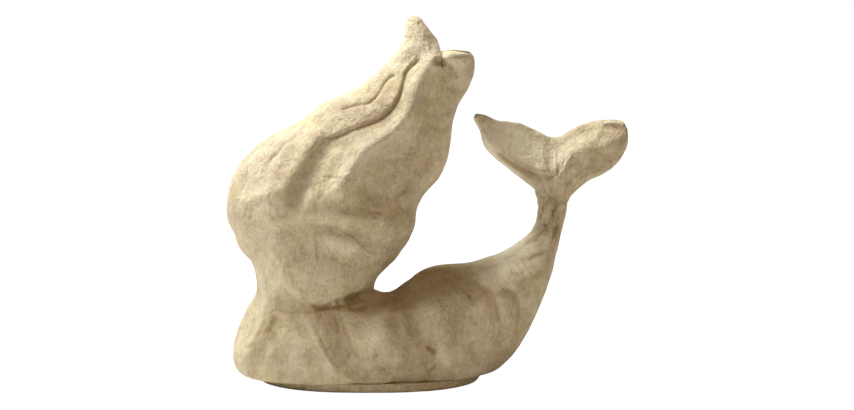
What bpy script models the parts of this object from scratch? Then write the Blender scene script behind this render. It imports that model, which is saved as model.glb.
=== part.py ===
# Papier-mache mermaid figurine, made as hollow paper shells on a flat board.
# She lies with her head on her folded arms, hair streaming up and tail curled over.
# The figure is one long S-shaped tube of cross sections: hair, head, torso, tail.
# Each stretch was moulded as a front and a back shell that meet on the plane y = 0.
# Frame: +X towards the tail, -Y towards the viewer, +Z up.
# The origin is the centre of the underside of the base board.

import math
from collections import namedtuple

import bmesh
import bpy
import numpy as np

MM = 0.001  # every size below is in millimetres

# Paper, card and joints
SHELL_WALL = 2.2  # moulded paper, several layers
SEAM_GAP = 0.3  # glue line between neighbouring pieces
STRIP_THICKNESS = 0.5  # torn paper pasted over a joint
CARD_THICKNESS = 1.6  # stiffener inside the fluke
CARD_MARGIN = 0.8  # play of the card inside its pocket
CARD_CLEAR = 2.5  # how far the card stays above the rolled core
CARD_ROWS = 4
SKIN_RIM = 2.0  # pasted edge of the fluke's two skins, all round the card
POCKET_SLOPE = 0.2  # run of the pocket's side walls

# Base board
BASE_LENGTH = 96.0
BASE_DEPTH = 66.0
BASE_THICKNESS = 4.0
BASE_EDGE_ROUND = 1.2
BASE_FULLNESS = 2.5  # 2 is an ellipse, more is squarer

# Rolled paper core in the tail stalk
CORE_RADIUS = 1.6
CORE_START = "tail_4"  # body section at which it starts, inside the tail
CORE_SOCKET = 4.0  # how far it reaches into the fluke
CORE_SIDES = 12

# Pasted strips over the joints: rows of the shells covered on each side of the joint
STRIP_ROWS = 2
WRAPPED = ("stalk_1", "stalk_2")  # body sections wrapped, with half a span beyond each

# Arc segments of a front and a back half section, finer in front where the relief is
ARC_STEPS = (24, 14)
TAIL_ARC_STEPS = (18, 12)
TIP_ARC_STEPS = (8, 8)
FLUKE_ARC_STEPS = 8

# A cross section. far and near are its two silhouette points (x, z): far lies on the outer
# side of the S, near faces the open space between hair and tail. front and back are its
# depths towards -Y and +Y. lift tips the front half of the section up, in degrees.
# near_full and far_full are the roundness of its two halves: 2 is an ellipse, more is squarer.
Section = namedtuple("Section", "far near front back lift near_full far_full")

NECK = Section((-48.7, 35.8), (1.3, 36.6), 25.0, 22.0, 0.0, 2.2, 2.2)

UPPER = {
    "neck": NECK,
    "jaw": Section((-48.7, 42.7), (3.3, 42.7), 30.5, 25.0, 16.0, 2.2, 2.2),
    "hairline": Section((-50.7, 49.5), (9.2, 49), 34.5, 26.5, 34.0, 2.15, 2.2),
    "temples": Section((-55.2, 54.9), (13.6, 54.4), 35.0, 27.5, 31.0, 2.1, 2.2),
    "crown": Section((-57.2, 60.8), (17.1, 59.8), 34.0, 28.5, 25.0, 2.05, 2.2),
    "bulge": Section((-60.3, 68.2), (19.2, 65.7), 32.5, 29.0, 19.0, 1.95, 2.05),
    "bulge_top": Section((-60.2, 76.5), (19.8, 72.1), 31.0, 29.0, 16.0, 1.85, 2),
    "lock_1": Section((-57.8, 85.3), (23.3, 78.5), 29.0, 28.0, 15.0, 1.75, 1.95),
    "lock_2": Section((-52.7, 94.2), (28.7, 85.3), 26.5, 26.0, 15.0, 1.7, 1.9),
    "lock_3": Section((-43.2, 102.5), (32.9, 93.2), 24.0, 23.5, 16.0, 1.65, 1.85),
    "lock_4": Section((-30.6, 109.3), (34.8, 101), 21.0, 21.0, 16.0, 1.65, 1.8),
    "lock_5": Section((-20.9, 116.4), (35.7, 108.9), 18.0, 18.5, 16.0, 1.65, 1.75),
    "lock_6": Section((-8.2, 122.6), (38.1, 116.7), 15.0, 16.0, 16.0, 1.65, 1.75),
    "lock_7": Section((0.7, 128.5), (42, 124.1), 12.5, 13.0, 15.0, 1.7, 1.75),
    "split": Section((7.2, 134.4), (44.5, 130), 10.5, 11.0, 14.0, 1.9, 1.8),
}

BODY = {
    "neck": NECK,
    "collar": Section((-52.7, 29.4), (2.3, 36), 27.0, 25.0, 0.0, 2.25, 2.3),
    "shoulder": Section((-56, 20.7), (3.3, 35.3), 29.5, 28.0, 0.0, 2.35, 2.5),
    "elbow": Section((-58.2, 12), (4.1, 34.9), 31.5, 30.0, 0.0, 2.5, 2.9),
    "elbow_heel": Section((-55.8, 4.6), (4.8, 34.7), 32.5, 31.0, 0.0, 2.5, 3.2),
    "chest": Section((-42, -6.3), (5.8, 34.5), 33.0, 31.5, 0.0, 2.5, 4.5),
    "ribs": Section((-20.2, -5.8), (7, 34.4), 33.0, 31.5, 0.0, 2.5, 5.5),
    "belly": Section((-2.2, -5.4), (8.4, 34.6), 32.0, 31.5, 0.0, 2.5, 5.5),
    "waist": Section((12.8, -5.4), (11, 35.7), 30.5, 31.0, 0.0, 2.5, 5.2),
    "loin": Section((24.8, -5), (15.4, 39.3), 29.0, 30.5, 0.0, 2.45, 4.8),
    "hip": Section((35.8, -5), (21.6, 44.1), 27.5, 29.5, 0.0, 2.4, 4),
    "tail_1": Section((46.8, -3.5), (29.7, 47.2), 26.0, 27.5, 0.0, 2.3, 2.9),
    "tail_2": Section((55.7, 3.8), (39.8, 48.2), 24.0, 25.0, 0.0, 2.2, 2.4),
    "tail_3": Section((63.1, 11.6), (48.7, 50.3), 21.5, 22.0, 0.0, 2.1, 2.1),
    "tail_4": Section((68.4, 21.3), (56.5, 53.5), 18.5, 18.5, 0.0, 2, 2),
    "tail_5": Section((73.5, 31.8), (63.5, 58), 15.0, 15.0, 0.0, 2, 2),
    "tail_6": Section((78.1, 44.6), (69.1, 62.7), 11.0, 11.0, 0.0, 2, 2),
    "stalk_1": Section((80.8, 58.3), (71.6, 69.4), 7.5, 7.5, 0.0, 2, 2),
    "stalk_2": Section((83.6, 68.7), (72.2, 75), 5.2, 5.2, 0.0, 2, 2),
    "stalk_top": Section((85.4, 76), (70.7, 80.4), 4.8, 4.8, 0.0, 2, 2),
}

# A section of the fluke: lower and upper outline points (x, z), half its thickness, how far
# it bows towards +Y, and half the depth of its flat seat on the stalk.
Lobe = namedtuple("Lobe", "lower upper half_thick bow seat", defaults=(0.0,))

FLUKE = {
    "left_tip": Lobe((44.5, 110.9), (45.5, 114.2), 1.5, -4.5),
    "left_point": Lobe((46.9, 106.6), (49.8, 113.1), 2.0, -4.0),
    "left_outer": Lobe((49.6, 98.8), (55.6, 110.3), 2.4, -2.5),
    "left_middle": Lobe((58.1, 90.8), (63.8, 109.1), 2.8, 0.0),
    "left_inner": Lobe((65.6, 84.7), (70.7, 105.8), 3.4, 0.8),
    "left_root": Lobe((70.9, 80.9), (75.1, 103.4), 4.2, 0.4),
    "left_seat": Lobe((74.8, 79.4), (76.7, 102.8), 4.6, 0.1, 3.9),
    "root": Lobe((78.5, 78.3), (78.2, 102.6), 4.8, 0.0, 4.8),
    "right_seat": Lobe((82.1, 77.2), (79.9, 102.8), 4.6, 0.1, 3.9),
    "right_root": Lobe((85.6, 76.3), (81.9, 103.5), 4.2, 0.4),
    "right_inner": Lobe((88.9, 81), (84.9, 105.3), 3.4, 0.8),
    "right_middle": Lobe((94, 85), (90.4, 108.2), 2.9, 0.4),
    "right_outer": Lobe((101, 88.8), (97.2, 110.3), 2.6, -1.2),
    "right_point": Lobe((105.9, 93.9), (103.6, 111), 2.3, -2.6),
    "right_tip": Lobe((109, 100.3), (108.3, 109.6), 1.8, -3.6),
}

FLUKE_LEAN = 0.22  # how far the fluke tips back towards its top, for its height
LEAN_START = 4.0  # height above its lower edge at which it starts to tip, clear of the core

# Sections of the two hair ends, from their seat on the hair shells to near the point
TIP_BACK = {
    "seat": UPPER["split"],
    "root": Section((11.4, 139.9), (34.4, 138.3), 9.2, 9.0, 12.0, 1.9, 1.8),
    "middle": Section((14.4, 144.4), (29.6, 144), 7.2, 7.5, 10.0, 1.9, 1.8),
    "narrow": Section((15.4, 148.5), (26.2, 148.5), 5.2, 6.0, 8.0, 1.9, 1.9),
    "point": Section((16.4, 152.3), (23, 152.3), 2.8, 3.8, 5.0, 2.0, 2.0),
}
TIP_BACK_POINT = (19.2, 2.0, 154.6)
TIP_FRONT = {
    "seat": UPPER["split"],
    "root": Section((24.8, 136.9), (45, 134), 9.5, 7.5, 14.0, 1.8, 1.9),
    "middle": Section((29.3, 138.7), (44.6, 137.1), 8.0, 5.5, 12.0, 1.9, 2.0),
    "point": Section((33.3, 140.1), (43, 139.3), 5.0, 3.0, 8.0, 2.0, 2.1),
}
TIP_FRONT_POINT = (38.2, -2.0, 140.7)
TIP_SPLIT = (28.5, 0)  # (x, y) on the plane between the two ends
TIP_SPLIT_ANGLE = -14.0  # turn of that plane about Z, in degrees

# Relief, as strokes of a modelling tool: a line of points (x, z), a radius, and a height
# that is negative for a groove. A lip raises the left side of the line and lowers the right.
Stroke = namedtuple("Stroke", "points radius height lip", defaults=(0.0,))

FRONT_RELIEF = [
    # Hair: the long groove under its crest, the valley below it, and the bright second crest
    Stroke([(21, 138), (16, 133), (15, 129), (14, 125), (12, 121), (9, 117), (5, 114), (0, 112),
            (-6, 110), (-11, 108), (-17, 106)], 2.4, -1.8, -0.9),
    Stroke([(-11, 107), (-17, 104), (-20, 100), (-23, 94), (-26, 88), (-29, 82),
            (-31, 75)], 4.2, -2.6, -1.0),
    Stroke([(-21, 107), (-26, 102), (-28, 97), (-32, 92), (-34, 86)], 3.2, 1.1),
    Stroke([(32, 140), (26, 136), (22, 131), (19, 125), (17, 119), (14, 114), (9, 109), (3, 105),
            (-2, 101), (-6, 96), (-10, 90), (-14, 85), (-20, 79)], 4.2, 2.6, 0.7),
    Stroke([(27, 127), (25, 117), (20, 108), (14, 101), (8, 94), (3, 87), (-2, 80)], 7, -1.9),
    Stroke([(35, 132), (33, 124), (32, 115), (32, 108)], 2.4, 1.2),
    Stroke([(38, 135), (37, 129), (35, 122)], 2.4, -0.8),
    Stroke([(34, 117), (32, 107), (30, 96), (25, 89), (19, 83), (16, 76), (15, 68),
            (14, 61)], 2.4, 1.3),
    Stroke([(29, 104), (25, 96), (20, 90), (15, 84), (12, 78), (11, 70)], 2.6, -1.4),
    Stroke([(12, 134), (9, 130), (7, 128), (5, 125), (3, 122), (0, 120), (-5, 119),
            (-11, 117)], 2.4, -1.3, -0.4),
    Stroke([(13, 131), (11, 125), (7, 120), (1, 117), (-6, 114), (-14, 111)], 2.6, 0.8),
    Stroke([(-37, 99), (-40, 97), (-43, 95)], 2.4, -0.8),
    Stroke([(-44, 94), (-49, 90), (-53, 85)], 4.2, -1.3),
    Stroke([(-33, 89), (-41, 86), (-50, 81)], 4.2, 1.5),
    Stroke([(-40, 81), (-46, 78), (-52, 74)], 3.2, -1.4),
    Stroke([(7, 66), (4, 71), (2, 75)], 2.4, -0.7),
    # Face: soft brow, eye hollow, nose, cheek, chin and the crease under it
    Stroke([(-19, 66), (-14, 64), (-7, 61), (-1, 57)], 3.4, 1.1),
    Stroke([(-26, 61), (-21, 60), (-15, 58), (-11, 55)], 3.6, -1.5),
    Stroke([(-36, 57), (-35, 49)], 8, 1.4),
    Stroke([(-11, 46), (-5, 46)], 7, 1.4),
    Stroke([(-19, 42), (-16, 42)], 4, 0.8),
    Stroke([(-48, 37), (-40, 38), (-28, 38), (-21, 35), (-14, 36), (-8, 35), (-3, 36),
            (3, 36)], 3.4, -3.2),
    Stroke([(-44, 53), (-43, 45)], 4, 0.8),
    # Arms: flat facet of the bent elbow, forearm and the round shoulder
    Stroke([(-49, 32), (-52, 24), (-54, 16)], 4.2, -1.0),
    Stroke([(-44, 32), (-43, 28), (-44, 24), (-48, 18), (-52, 13)], 2.6, 1.8),
    Stroke([(-40, 36), (-38, 31), (-39, 25), (-42, 20), (-46, 15), (-50, 10)], 3, -1.8),
    Stroke([(-29, 20), (-25, 12)], 8.5, 2.4),
    Stroke([(-23, 31), (-21, 24), (-17, 17), (-12, 10), (-4, 6)], 2.8, 1.9),
    Stroke([(-14, 31), (-13, 24), (-10, 19), (-6, 13)], 3, -2.4),
    Stroke([(0, 27), (1, 21)], 10.5, 5.2),
    Stroke([(8, 34), (12, 29), (14, 22), (12, 14), (8, 8)], 2.6, 1.0, 0.9),
    Stroke([(18, 35), (19, 27), (18, 17), (14, 8)], 5.5, -2.8),
    Stroke([(12, 36), (24, 42), (37, 44), (48, 43)], 5.5, -2.2),
    # Tail: knee, folds and the twist into the stalk
    Stroke([(32, 31), (33, 23), (32, 14)], 4.6, 2.4),
    Stroke([(26, 28), (25, 20), (26, 14)], 3, -1.4),
    Stroke([(40, 37), (41, 27), (40, 17)], 4.5, -1.0),
    Stroke([(45, 46), (51, 42), (54, 34), (55, 26), (54, 16)], 2.4, -1.1, 0.5),
    Stroke([(54, 43), (60, 42), (63, 37), (65, 28), (62, 18)], 2.4, -1.5, 0.5),
    Stroke([(57, 37), (59, 29), (58, 19)], 2.6, 1.1),
    Stroke([(68, 36), (68, 27), (65, 19)], 2.4, 1.0),
    Stroke([(62, 50), (67, 51), (71, 54), (75, 59)], 2.4, -1.7),
    Stroke([(57, 52), (63, 56), (68, 59), (72, 62)], 3.2, 1.6),
    Stroke([(73, 54), (73, 46), (71, 37)], 2.4, 1.2),
    Stroke([(69, 50), (67, 43), (68, 37)], 2.4, -1.2),
    Stroke([(78, 58), (79, 52), (76, 46)], 2.4, -1.1),
    Stroke([(78, 58), (78, 66), (77, 74), (77, 81)], 2.4, -1.2),
]

BACK_RELIEF = [
    # Hair: wavy grooves and crests down the flow of the locks
    Stroke([(16, 131), (10, 122), (0, 115), (-14, 109), (-26, 102), (-36, 93), (-42, 82), (-44, 71)],
           4.0, -3.0),
    Stroke([(28, 133), (24, 124), (17, 113), (6, 104), (-6, 97), (-16, 88), (-22, 78), (-24, 65)],
           4.2, -3.0),
    Stroke([(36, 126), (31, 114), (25, 102), (16, 92), (7, 82), (1, 72), (-2, 60)], 4.0, -2.8),
    Stroke([(20, 125), (10, 113), (-4, 105), (-17, 97), (-28, 88), (-33, 77)], 5.0, 2.0),
    Stroke([(30, 120), (22, 107), (10, 97), (-2, 88), (-10, 78), (-13, 65)], 5.0, 2.0),
    # Ends of the locks behind the head, hanging to the shoulders
    Stroke([(-42, 63), (-36, 54), (-35, 45)], 3.6, -2.0),
    Stroke([(-22, 59), (-19, 50), (-20, 42)], 3.6, -2.0),
    Stroke([(-6, 57), (-4, 49), (-6, 42)], 3.6, -2.0),
    # Back of the torso: shoulder blades and the hollow of the spine
    Stroke([(-36, 28), (-30, 20)], 8.0, 2.0),
    Stroke([(-12, 29), (-6, 22)], 8.0, 2.0),
    Stroke([(-22, 33), (-18, 22), (-4, 16), (12, 18)], 4.5, -1.8),
    # Tail: the same folds carried round
    Stroke([(34, 43), (41, 37), (44, 28), (42, 18)], 3.2, -1.4),
    Stroke([(46, 45), (53, 41), (55, 32), (55, 18)], 3.2, -1.8),
    Stroke([(55, 44), (61, 44), (65, 35), (65, 27), (62, 18)], 3.2, -2.0),
]

FLUKE_RELIEF = [
    Stroke([(55, 99), (60, 94), (64, 91), (70, 88), (75, 87), (79, 90), (82, 92)], 2.4, -1.5, 0.5),
    Stroke([(82, 91), (85, 96), (90, 98), (95, 100), (101, 101), (107, 103)], 2.6, 1.8, 0.6),
    Stroke([(88, 89), (95, 93), (101, 97)], 4, -1.0),
    Stroke([(59, 104), (66, 100), (73, 95)], 5, -0.8),
    Stroke([(77, 77), (76, 83), (78, 88), (81, 93)], 2.4, -1.1),
]

FLOOR = BASE_THICKNESS + SEAM_GAP  # underside of the figure, on its glue line
HEEL_ROUND = 1.2  # softening of the figure's edge where it meets the board
SEAM_FADE = 0.45  # share of the half arc over which relief fades out beside the seam
STROKE_END = 0.4  # height of a stroke at its ends, as a share of its middle
STROKE_FADE = 1.5  # radii over which it fades there; strokes shorter than twice this don't
LIP_SHAPE = 2.33  # makes x * exp(-x * x) peak at 1


def make_material(name, colour, roughness):
    material = bpy.data.materials.new(name)
    material.use_nodes = True
    shader = material.node_tree.nodes["Principled BSDF"]
    shader.inputs["Base Color"].default_value = (*colour, 1.0)
    shader.inputs["Roughness"].default_value = roughness
    shader.inputs["Metallic"].default_value = 0.0
    return material


def table_of(rows):
    """The rows of a section table as one array, a column for each number."""
    return np.array([np.hstack([np.ravel(value) for value in row]) for row in rows.values()])


def smooth(table, places):
    """Rows read between the table's own at fractional places, on a Catmull-Rom curve."""
    places = np.asarray(places, float)
    last = len(table) - 1
    i = np.clip(np.floor(places).astype(int), 0, last - 1)
    t = (places - i)[:, None]
    p1, p2 = table[i], table[i + 1]
    p0 = np.where((i > 0)[:, None], table[np.maximum(i - 1, 0)], 2 * p1 - p2)
    p3 = np.where((i + 2 <= last)[:, None], table[np.minimum(i + 2, last)], 2 * p2 - p1)
    return 0.5 * (2 * p1 + (p2 - p0) * t + (2 * p0 - 5 * p1 + 4 * p2 - p3) * t**2
                  + (3 * p1 - p0 - 3 * p2 + p3) * t**3)


def place_of(rows, name):
    return float(list(rows).index(name))


def steps(start, end, per_span):
    return np.linspace(start, end, int(round(abs(end - start) * per_span)) + 1)


def beside_line(x, z, points):
    """For each (x, z) its distance to a line in that plane, how far along the line it is and
    which side it is on (1 for left), and the length of the line."""
    line = np.array(points, float)
    if len(points) > 2:
        line = smooth(line, steps(0, len(points) - 1, 3))
    nearest, share, left = np.full(x.shape, np.inf), np.zeros(x.shape), np.zeros(x.shape)
    for i, (start, end) in enumerate(zip(line[:-1], line[1:])):
        run = end - start
        dx, dz = x - start[0], z - start[1]
        t = np.clip((dx * run[0] + dz * run[1]) / (run @ run), 0, 1)
        away = np.hypot(dx - t * run[0], dz - t * run[1])
        closer = away < nearest
        share = np.where(closer, (i + t) / (len(line) - 1), share)
        left = np.where(closer, np.sign(run[0] * dz - run[1] * dx), left)
        nearest = np.minimum(nearest, away)
    return nearest, share, left, np.linalg.norm(np.diff(line, axis=0), axis=1).sum()


def relief(x, z, strokes):
    """Height of the relief at each (x, z). Strokes are rounded across and fade at their ends."""
    height = np.zeros(x.shape)
    for stroke in strokes:
        away, share, left, length = beside_line(x, z, stroke.points)
        reach = STROKE_FADE * stroke.radius
        fade = 1.0
        if length > 2 * reach:
            ends = smoothstep(np.minimum(share, 1 - share) * length / reach)
            fade = STROKE_END + (1 - STROKE_END) * ends
        across = away / stroke.radius
        shape = stroke.height + LIP_SHAPE * stroke.lip * left * across
        height += fade * np.exp(-across**2) * shape
    return height


def half_turn(count):
    """Angles from 0 to pi, closer together in the middle, which faces the viewer."""
    t = np.linspace(0, math.pi, count + 1)
    return t + 0.15 * np.sin(2 * t)


def smoothstep(t):
    t = np.clip(t, 0, 1)
    return t * t * (3 - 2 * t)


def arcs(rows, side, angles, inset=0.0, seam=0.0, shift=(0.0, 0.0), least=0.0):
    """Half sections as a grid of points, rows by angles, in millimetres.

    side is -1 for the front half and 1 for the back. An angle of 0 is the near silhouette
    point and pi the far one. inset shrinks each section, seam moves it off the plane y = 0,
    shift moves the first and last rows along the tube. The underside is flat at FLOOR.
    """
    inset = np.broadcast_to(np.asarray(inset, float), len(rows))
    far, near = rows[:, 0:2], rows[:, 2:4]
    depth, lift = rows[:, 4 if side < 0 else 5], np.radians(rows[:, 6])
    centre = (far + near) / 2
    half = np.linalg.norm(near - far, axis=1) / 2
    across = (near - far) / half[:, None] / 2
    tip = lift if side < 0 else np.zeros(len(rows))
    u_axis = np.stack([across[:, 0], np.zeros(len(rows)), across[:, 1]], 1)
    v_axis = np.stack([np.zeros(len(rows)), side * np.cos(tip), np.sin(tip)], 1)
    cos, sin = np.cos(angles)[None, :], np.abs(np.sin(angles))[None, :]
    full = np.where(cos >= 0, rows[:, 7:8], rows[:, 8:9])
    reach = (np.abs(cos) ** full + sin**full) ** (-1 / full)
    u, v = cos * reach, sin * reach

    def at(a, b):
        middle = np.stack([centre[:, 0], np.full(len(rows), side * seam), centre[:, 1]], 1)
        return (middle[:, None, :] + (a[:, None] * u)[..., None] * u_axis[:, None, :]
                + (b[:, None] * v)[..., None] * v_axis[:, None, :])

    outline = at(half, depth)
    height = relief(outline[..., 0], outline[..., 2], FRONT_RELIEF if side < 0 else BACK_RELIEF)
    height = height * smoothstep(sin / SEAM_FADE)
    nu = np.sign(cos) * np.abs(u) ** (full - 1) / half[:, None]
    nv = v ** (full - 1) / depth[:, None]
    length = np.hypot(nu, nv)
    points = at(np.maximum(half - inset, least), np.maximum(depth - inset, least))
    points = points + (height * nu / length)[..., None] * u_axis[:, None, :]
    points = points + (height * nv / length)[..., None] * v_axis[:, None, :]
    along = np.cross(u_axis, v_axis) * side
    points[0] += along[0] * shift[0]
    points[-1] += along[-1] * shift[1]
    above = points[..., 2] - (FLOOR + inset)[:, None]
    rounded = np.clip(above + HEEL_ROUND, 0, 2 * HEEL_ROUND) ** 2 / (4 * HEEL_ROUND)
    lifted = np.maximum(rounded, above) - above
    rise = np.maximum(u_axis[:, 2], 0.3)[:, None]
    return points + (lifted / rise)[..., None] * u_axis[:, None, :]


def add_object(name, bm, material):
    bmesh.ops.recalc_face_normals(bm, faces=bm.faces)
    mesh = bpy.data.meshes.new(name)
    bm.to_mesh(mesh)
    bm.free()
    mesh.shade_smooth()
    mesh.set_sharp_from_angle(angle=math.radians(60))
    mesh.materials.append(material)
    obj = bpy.data.objects.new(name, mesh)
    bpy.context.scene.collection.objects.link(obj)
    return obj


def vertex_grid(bm, points):
    return [[bm.verts.new(tuple(point * MM)) for point in row] for row in points]


def quads_between(bm, first, second, wrap=False):
    """Quads between two rows of vertices."""
    count = len(first)
    for j in range(count if wrap else count - 1):
        k = (j + 1) % count
        bm.faces.new((first[j], first[k], second[k], second[j]))


def slab(name, outer, inner, material, wrap=False):
    """A closed sheet of paper between two grids of points. wrap closes its rows into rings."""
    bm = bmesh.new()
    top, bottom = vertex_grid(bm, outer), vertex_grid(bm, inner)
    for i in range(len(top) - 1):
        quads_between(bm, top[i], top[i + 1], wrap)
        quads_between(bm, bottom[i], bottom[i + 1], wrap)
    quads_between(bm, top[0], bottom[0], wrap)
    quads_between(bm, top[-1], bottom[-1], wrap)
    if not wrap:
        for column in (0, -1):
            quads_between(bm, [row[column] for row in top], [row[column] for row in bottom])
    return add_object(name, bm, material)


def pod(name, rings, point, material):
    """A solid made of closed rings, drawn to a point at the last.

    The first is its seat, whose front and back halves are flat but meet at an angle.
    """
    bm = bmesh.new()
    grid = vertex_grid(bm, rings)
    for first, second in zip(grid[:-1], grid[1:]):
        quads_between(bm, first, second, wrap=True)
    half = len(grid[0]) // 2
    bm.faces.new(grid[0][:half + 1])
    bm.faces.new(grid[0][half:] + grid[0][:1])
    apex = bm.verts.new(tuple(np.array(point) * MM))
    last = grid[-1]
    for j in range(len(last)):
        bm.faces.new((last[j], last[(j + 1) % len(last)], apex))
    return add_object(name, bm, material)


def wrapped_rows(places):
    """Which rows of the tail lie under the wrap of its stalk."""
    first, last = (place_of(BODY, name) for name in WRAPPED)
    return (places > first - 0.51) & (places < last + 0.51)


def shell_rows(rows, start, end, per_span, covered):
    """Sections of one shell, and how far each lies below the skin for the strips over it.

    covered is the row count under a strip at the start and at the end, or a pair of places.
    """
    places = steps(start, end, per_span)
    count = np.arange(len(places))
    under = (count < covered[0]) | (count >= len(places) - covered[1])
    if rows is BODY and end == place_of(BODY, "stalk_top"):
        under |= wrapped_rows(places)
    return smooth(table_of(rows), places), np.where(under, STRIP_THICKNESS + SEAM_GAP, 0.0), places


def shell_pair(name, shell, arc_steps, ends, material, least=0.0):
    """A front and a back shell over the same sections.

    ends says which way each end moves along the tube to leave half a glue line: +1 or -1.
    """
    table, sunk, _ = shell
    half_gap = SEAM_GAP / 2
    shift = (ends[0] * half_gap, ends[1] * half_gap)
    for side, label, count in ((-1, "front", arc_steps[0]), (1, "back", arc_steps[1])):
        angles = half_turn(count)
        outer = arcs(table, side, angles, sunk, half_gap, shift)
        inner = arcs(table, side, angles, SHELL_WALL, half_gap, shift, least)
        slab(f"{name}_{label}_shell", outer, inner, material)


def full_ring(table, arc_steps, inset=0.0):
    """Whole sections as closed rings: the front half, then the back half reversed."""
    front = arcs(table, -1, half_turn(arc_steps[0]), inset, SEAM_GAP / 2)
    back = arcs(table, 1, half_turn(arc_steps[1]), inset, SEAM_GAP / 2)
    front[:, [0, -1], 1] = 0
    return np.concatenate([front, back[:, -2:0:-1]], axis=1)


def strip(name, table, arc_steps, material):
    """A band of torn paper pasted round the tube, level with the skin beside it."""
    outer = full_ring(table, arc_steps)
    inner = full_ring(table, arc_steps, STRIP_THICKNESS)
    slab(name, outer, inner, material, wrap=True)


def make_shells(paper):
    """Hair, head, torso and tail, each in two halves, and the strips over their joints."""
    hairline, split = place_of(UPPER, "hairline"), place_of(UPPER, "split")
    hip, stalk_top = place_of(BODY, "hip"), place_of(BODY, "stalk_top")
    n = STRIP_ROWS
    head = shell_rows(UPPER, 0.0, hairline, 4, (n, n))
    hair = shell_rows(UPPER, hairline, split, 2.2, (n, 0))
    torso = shell_rows(BODY, 0.0, hip, 2, (n, n))
    tail = shell_rows(BODY, hip, stalk_top, 2, (n, 0))
    shell_pair("head", head, ARC_STEPS, (1, -1), paper)
    shell_pair("hair", hair, ARC_STEPS, (1, 0), paper)
    shell_pair("torso", torso, ARC_STEPS, (-1, 1), paper)
    shell_pair("tail", tail, ARC_STEPS, (-1, 1), paper, CORE_RADIUS + SEAM_GAP)
    strip("neck_strip", np.vstack([head[0][1:n][::-1], torso[0][:n]]), ARC_STEPS, paper)
    strip("hairline_strip", np.vstack([head[0][-n:], hair[0][1:n]]), ARC_STEPS, paper)
    strip("waist_strip", np.vstack([torso[0][-n:], tail[0][1:n]]), ARC_STEPS, paper)
    strip("stalk_wrap", tail[0][wrapped_rows(tail[2])], TAIL_ARC_STEPS, paper)


def make_core(core_paper):
    """Rolled paper stick up the middle of the stalk and a little way into the fluke."""
    start, end = place_of(BODY, CORE_START), place_of(BODY, "stalk_top")
    table = smooth(table_of(BODY), steps(start, end, 1))
    middle = (table[:, 0:2] + table[:, 2:4]) / 2
    last = middle[-1] - middle[-2]
    middle = np.vstack([middle, middle[-1] + last / np.linalg.norm(last) * CORE_SOCKET])
    along = np.gradient(middle, axis=0)
    along /= np.linalg.norm(along, axis=1)[:, None]
    turn = np.linspace(0, 2 * math.pi, CORE_SIDES, endpoint=False)
    rings = np.zeros((len(middle), CORE_SIDES, 3))
    rings[..., 0] = middle[:, 0:1] - along[:, 1:2] * CORE_RADIUS * np.cos(turn)
    rings[..., 1] = CORE_RADIUS * np.sin(turn)
    rings[..., 2] = middle[:, 1:2] + along[:, 0:1] * CORE_RADIUS * np.cos(turn)
    bm = bmesh.new()
    grid = vertex_grid(bm, rings)
    for first, second in zip(grid[:-1], grid[1:]):
        quads_between(bm, first, second, wrap=True)
    bm.faces.new(grid[0])
    bm.faces.new(grid[-1])
    add_object("tail_core", bm, core_paper)


def make_hair_ends(paper):
    """The two twisted ends that close the hair shells, side by side on a slanting split."""
    turn = math.radians(TIP_SPLIT_ANGLE)
    normal = np.array([math.cos(turn), -math.sin(turn)])
    origin = np.array(TIP_SPLIT)
    for name, rows, point, sign in (("hair_end_back", TIP_BACK, TIP_BACK_POINT, -1),
                                    ("hair_end_front", TIP_FRONT, TIP_FRONT_POINT, 1)):
        table = smooth(table_of(rows), steps(0, len(rows) - 1, 2))
        rings = full_ring(table, TIP_ARC_STEPS)
        slope = (table[:, 3] - table[:, 1]) / (table[:, 2] - table[:, 0])
        reach = (rings[..., :2] - origin) @ normal * sign - SEAM_GAP / 2
        rings[..., :2] -= (np.minimum(reach, 0) * sign)[..., None] * normal
        # Back on to the bent plane of its section, after the cut
        along = (rings[..., 0] - table[:, 0:1]) * slope[:, None]
        forward = np.maximum(-rings[..., 1], 0) * np.tan(np.radians(table[:, 6:7]))
        rings[..., 2] = table[:, 1:2] + along + forward
        rings[0, :, 2] += SEAM_GAP
        pod(name, rings, point, paper)


def lobe_axes(table):
    """Upper outline point, direction from it to the lower one, and the distance between."""
    lower, upper = table[:, 0:2], table[:, 2:4]
    length = np.linalg.norm(lower - upper, axis=1)
    return upper, (lower - upper) / length[:, None], length


def middle_y(table, z):
    """y of the plane between the two skins at height z, for each section of the fluke."""
    above = np.maximum(z - table[:, 1:2] - LEAN_START, 0)
    return table[:, 5:6] + FLUKE_LEAN * above**2 / (above + LEAN_START)


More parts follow.
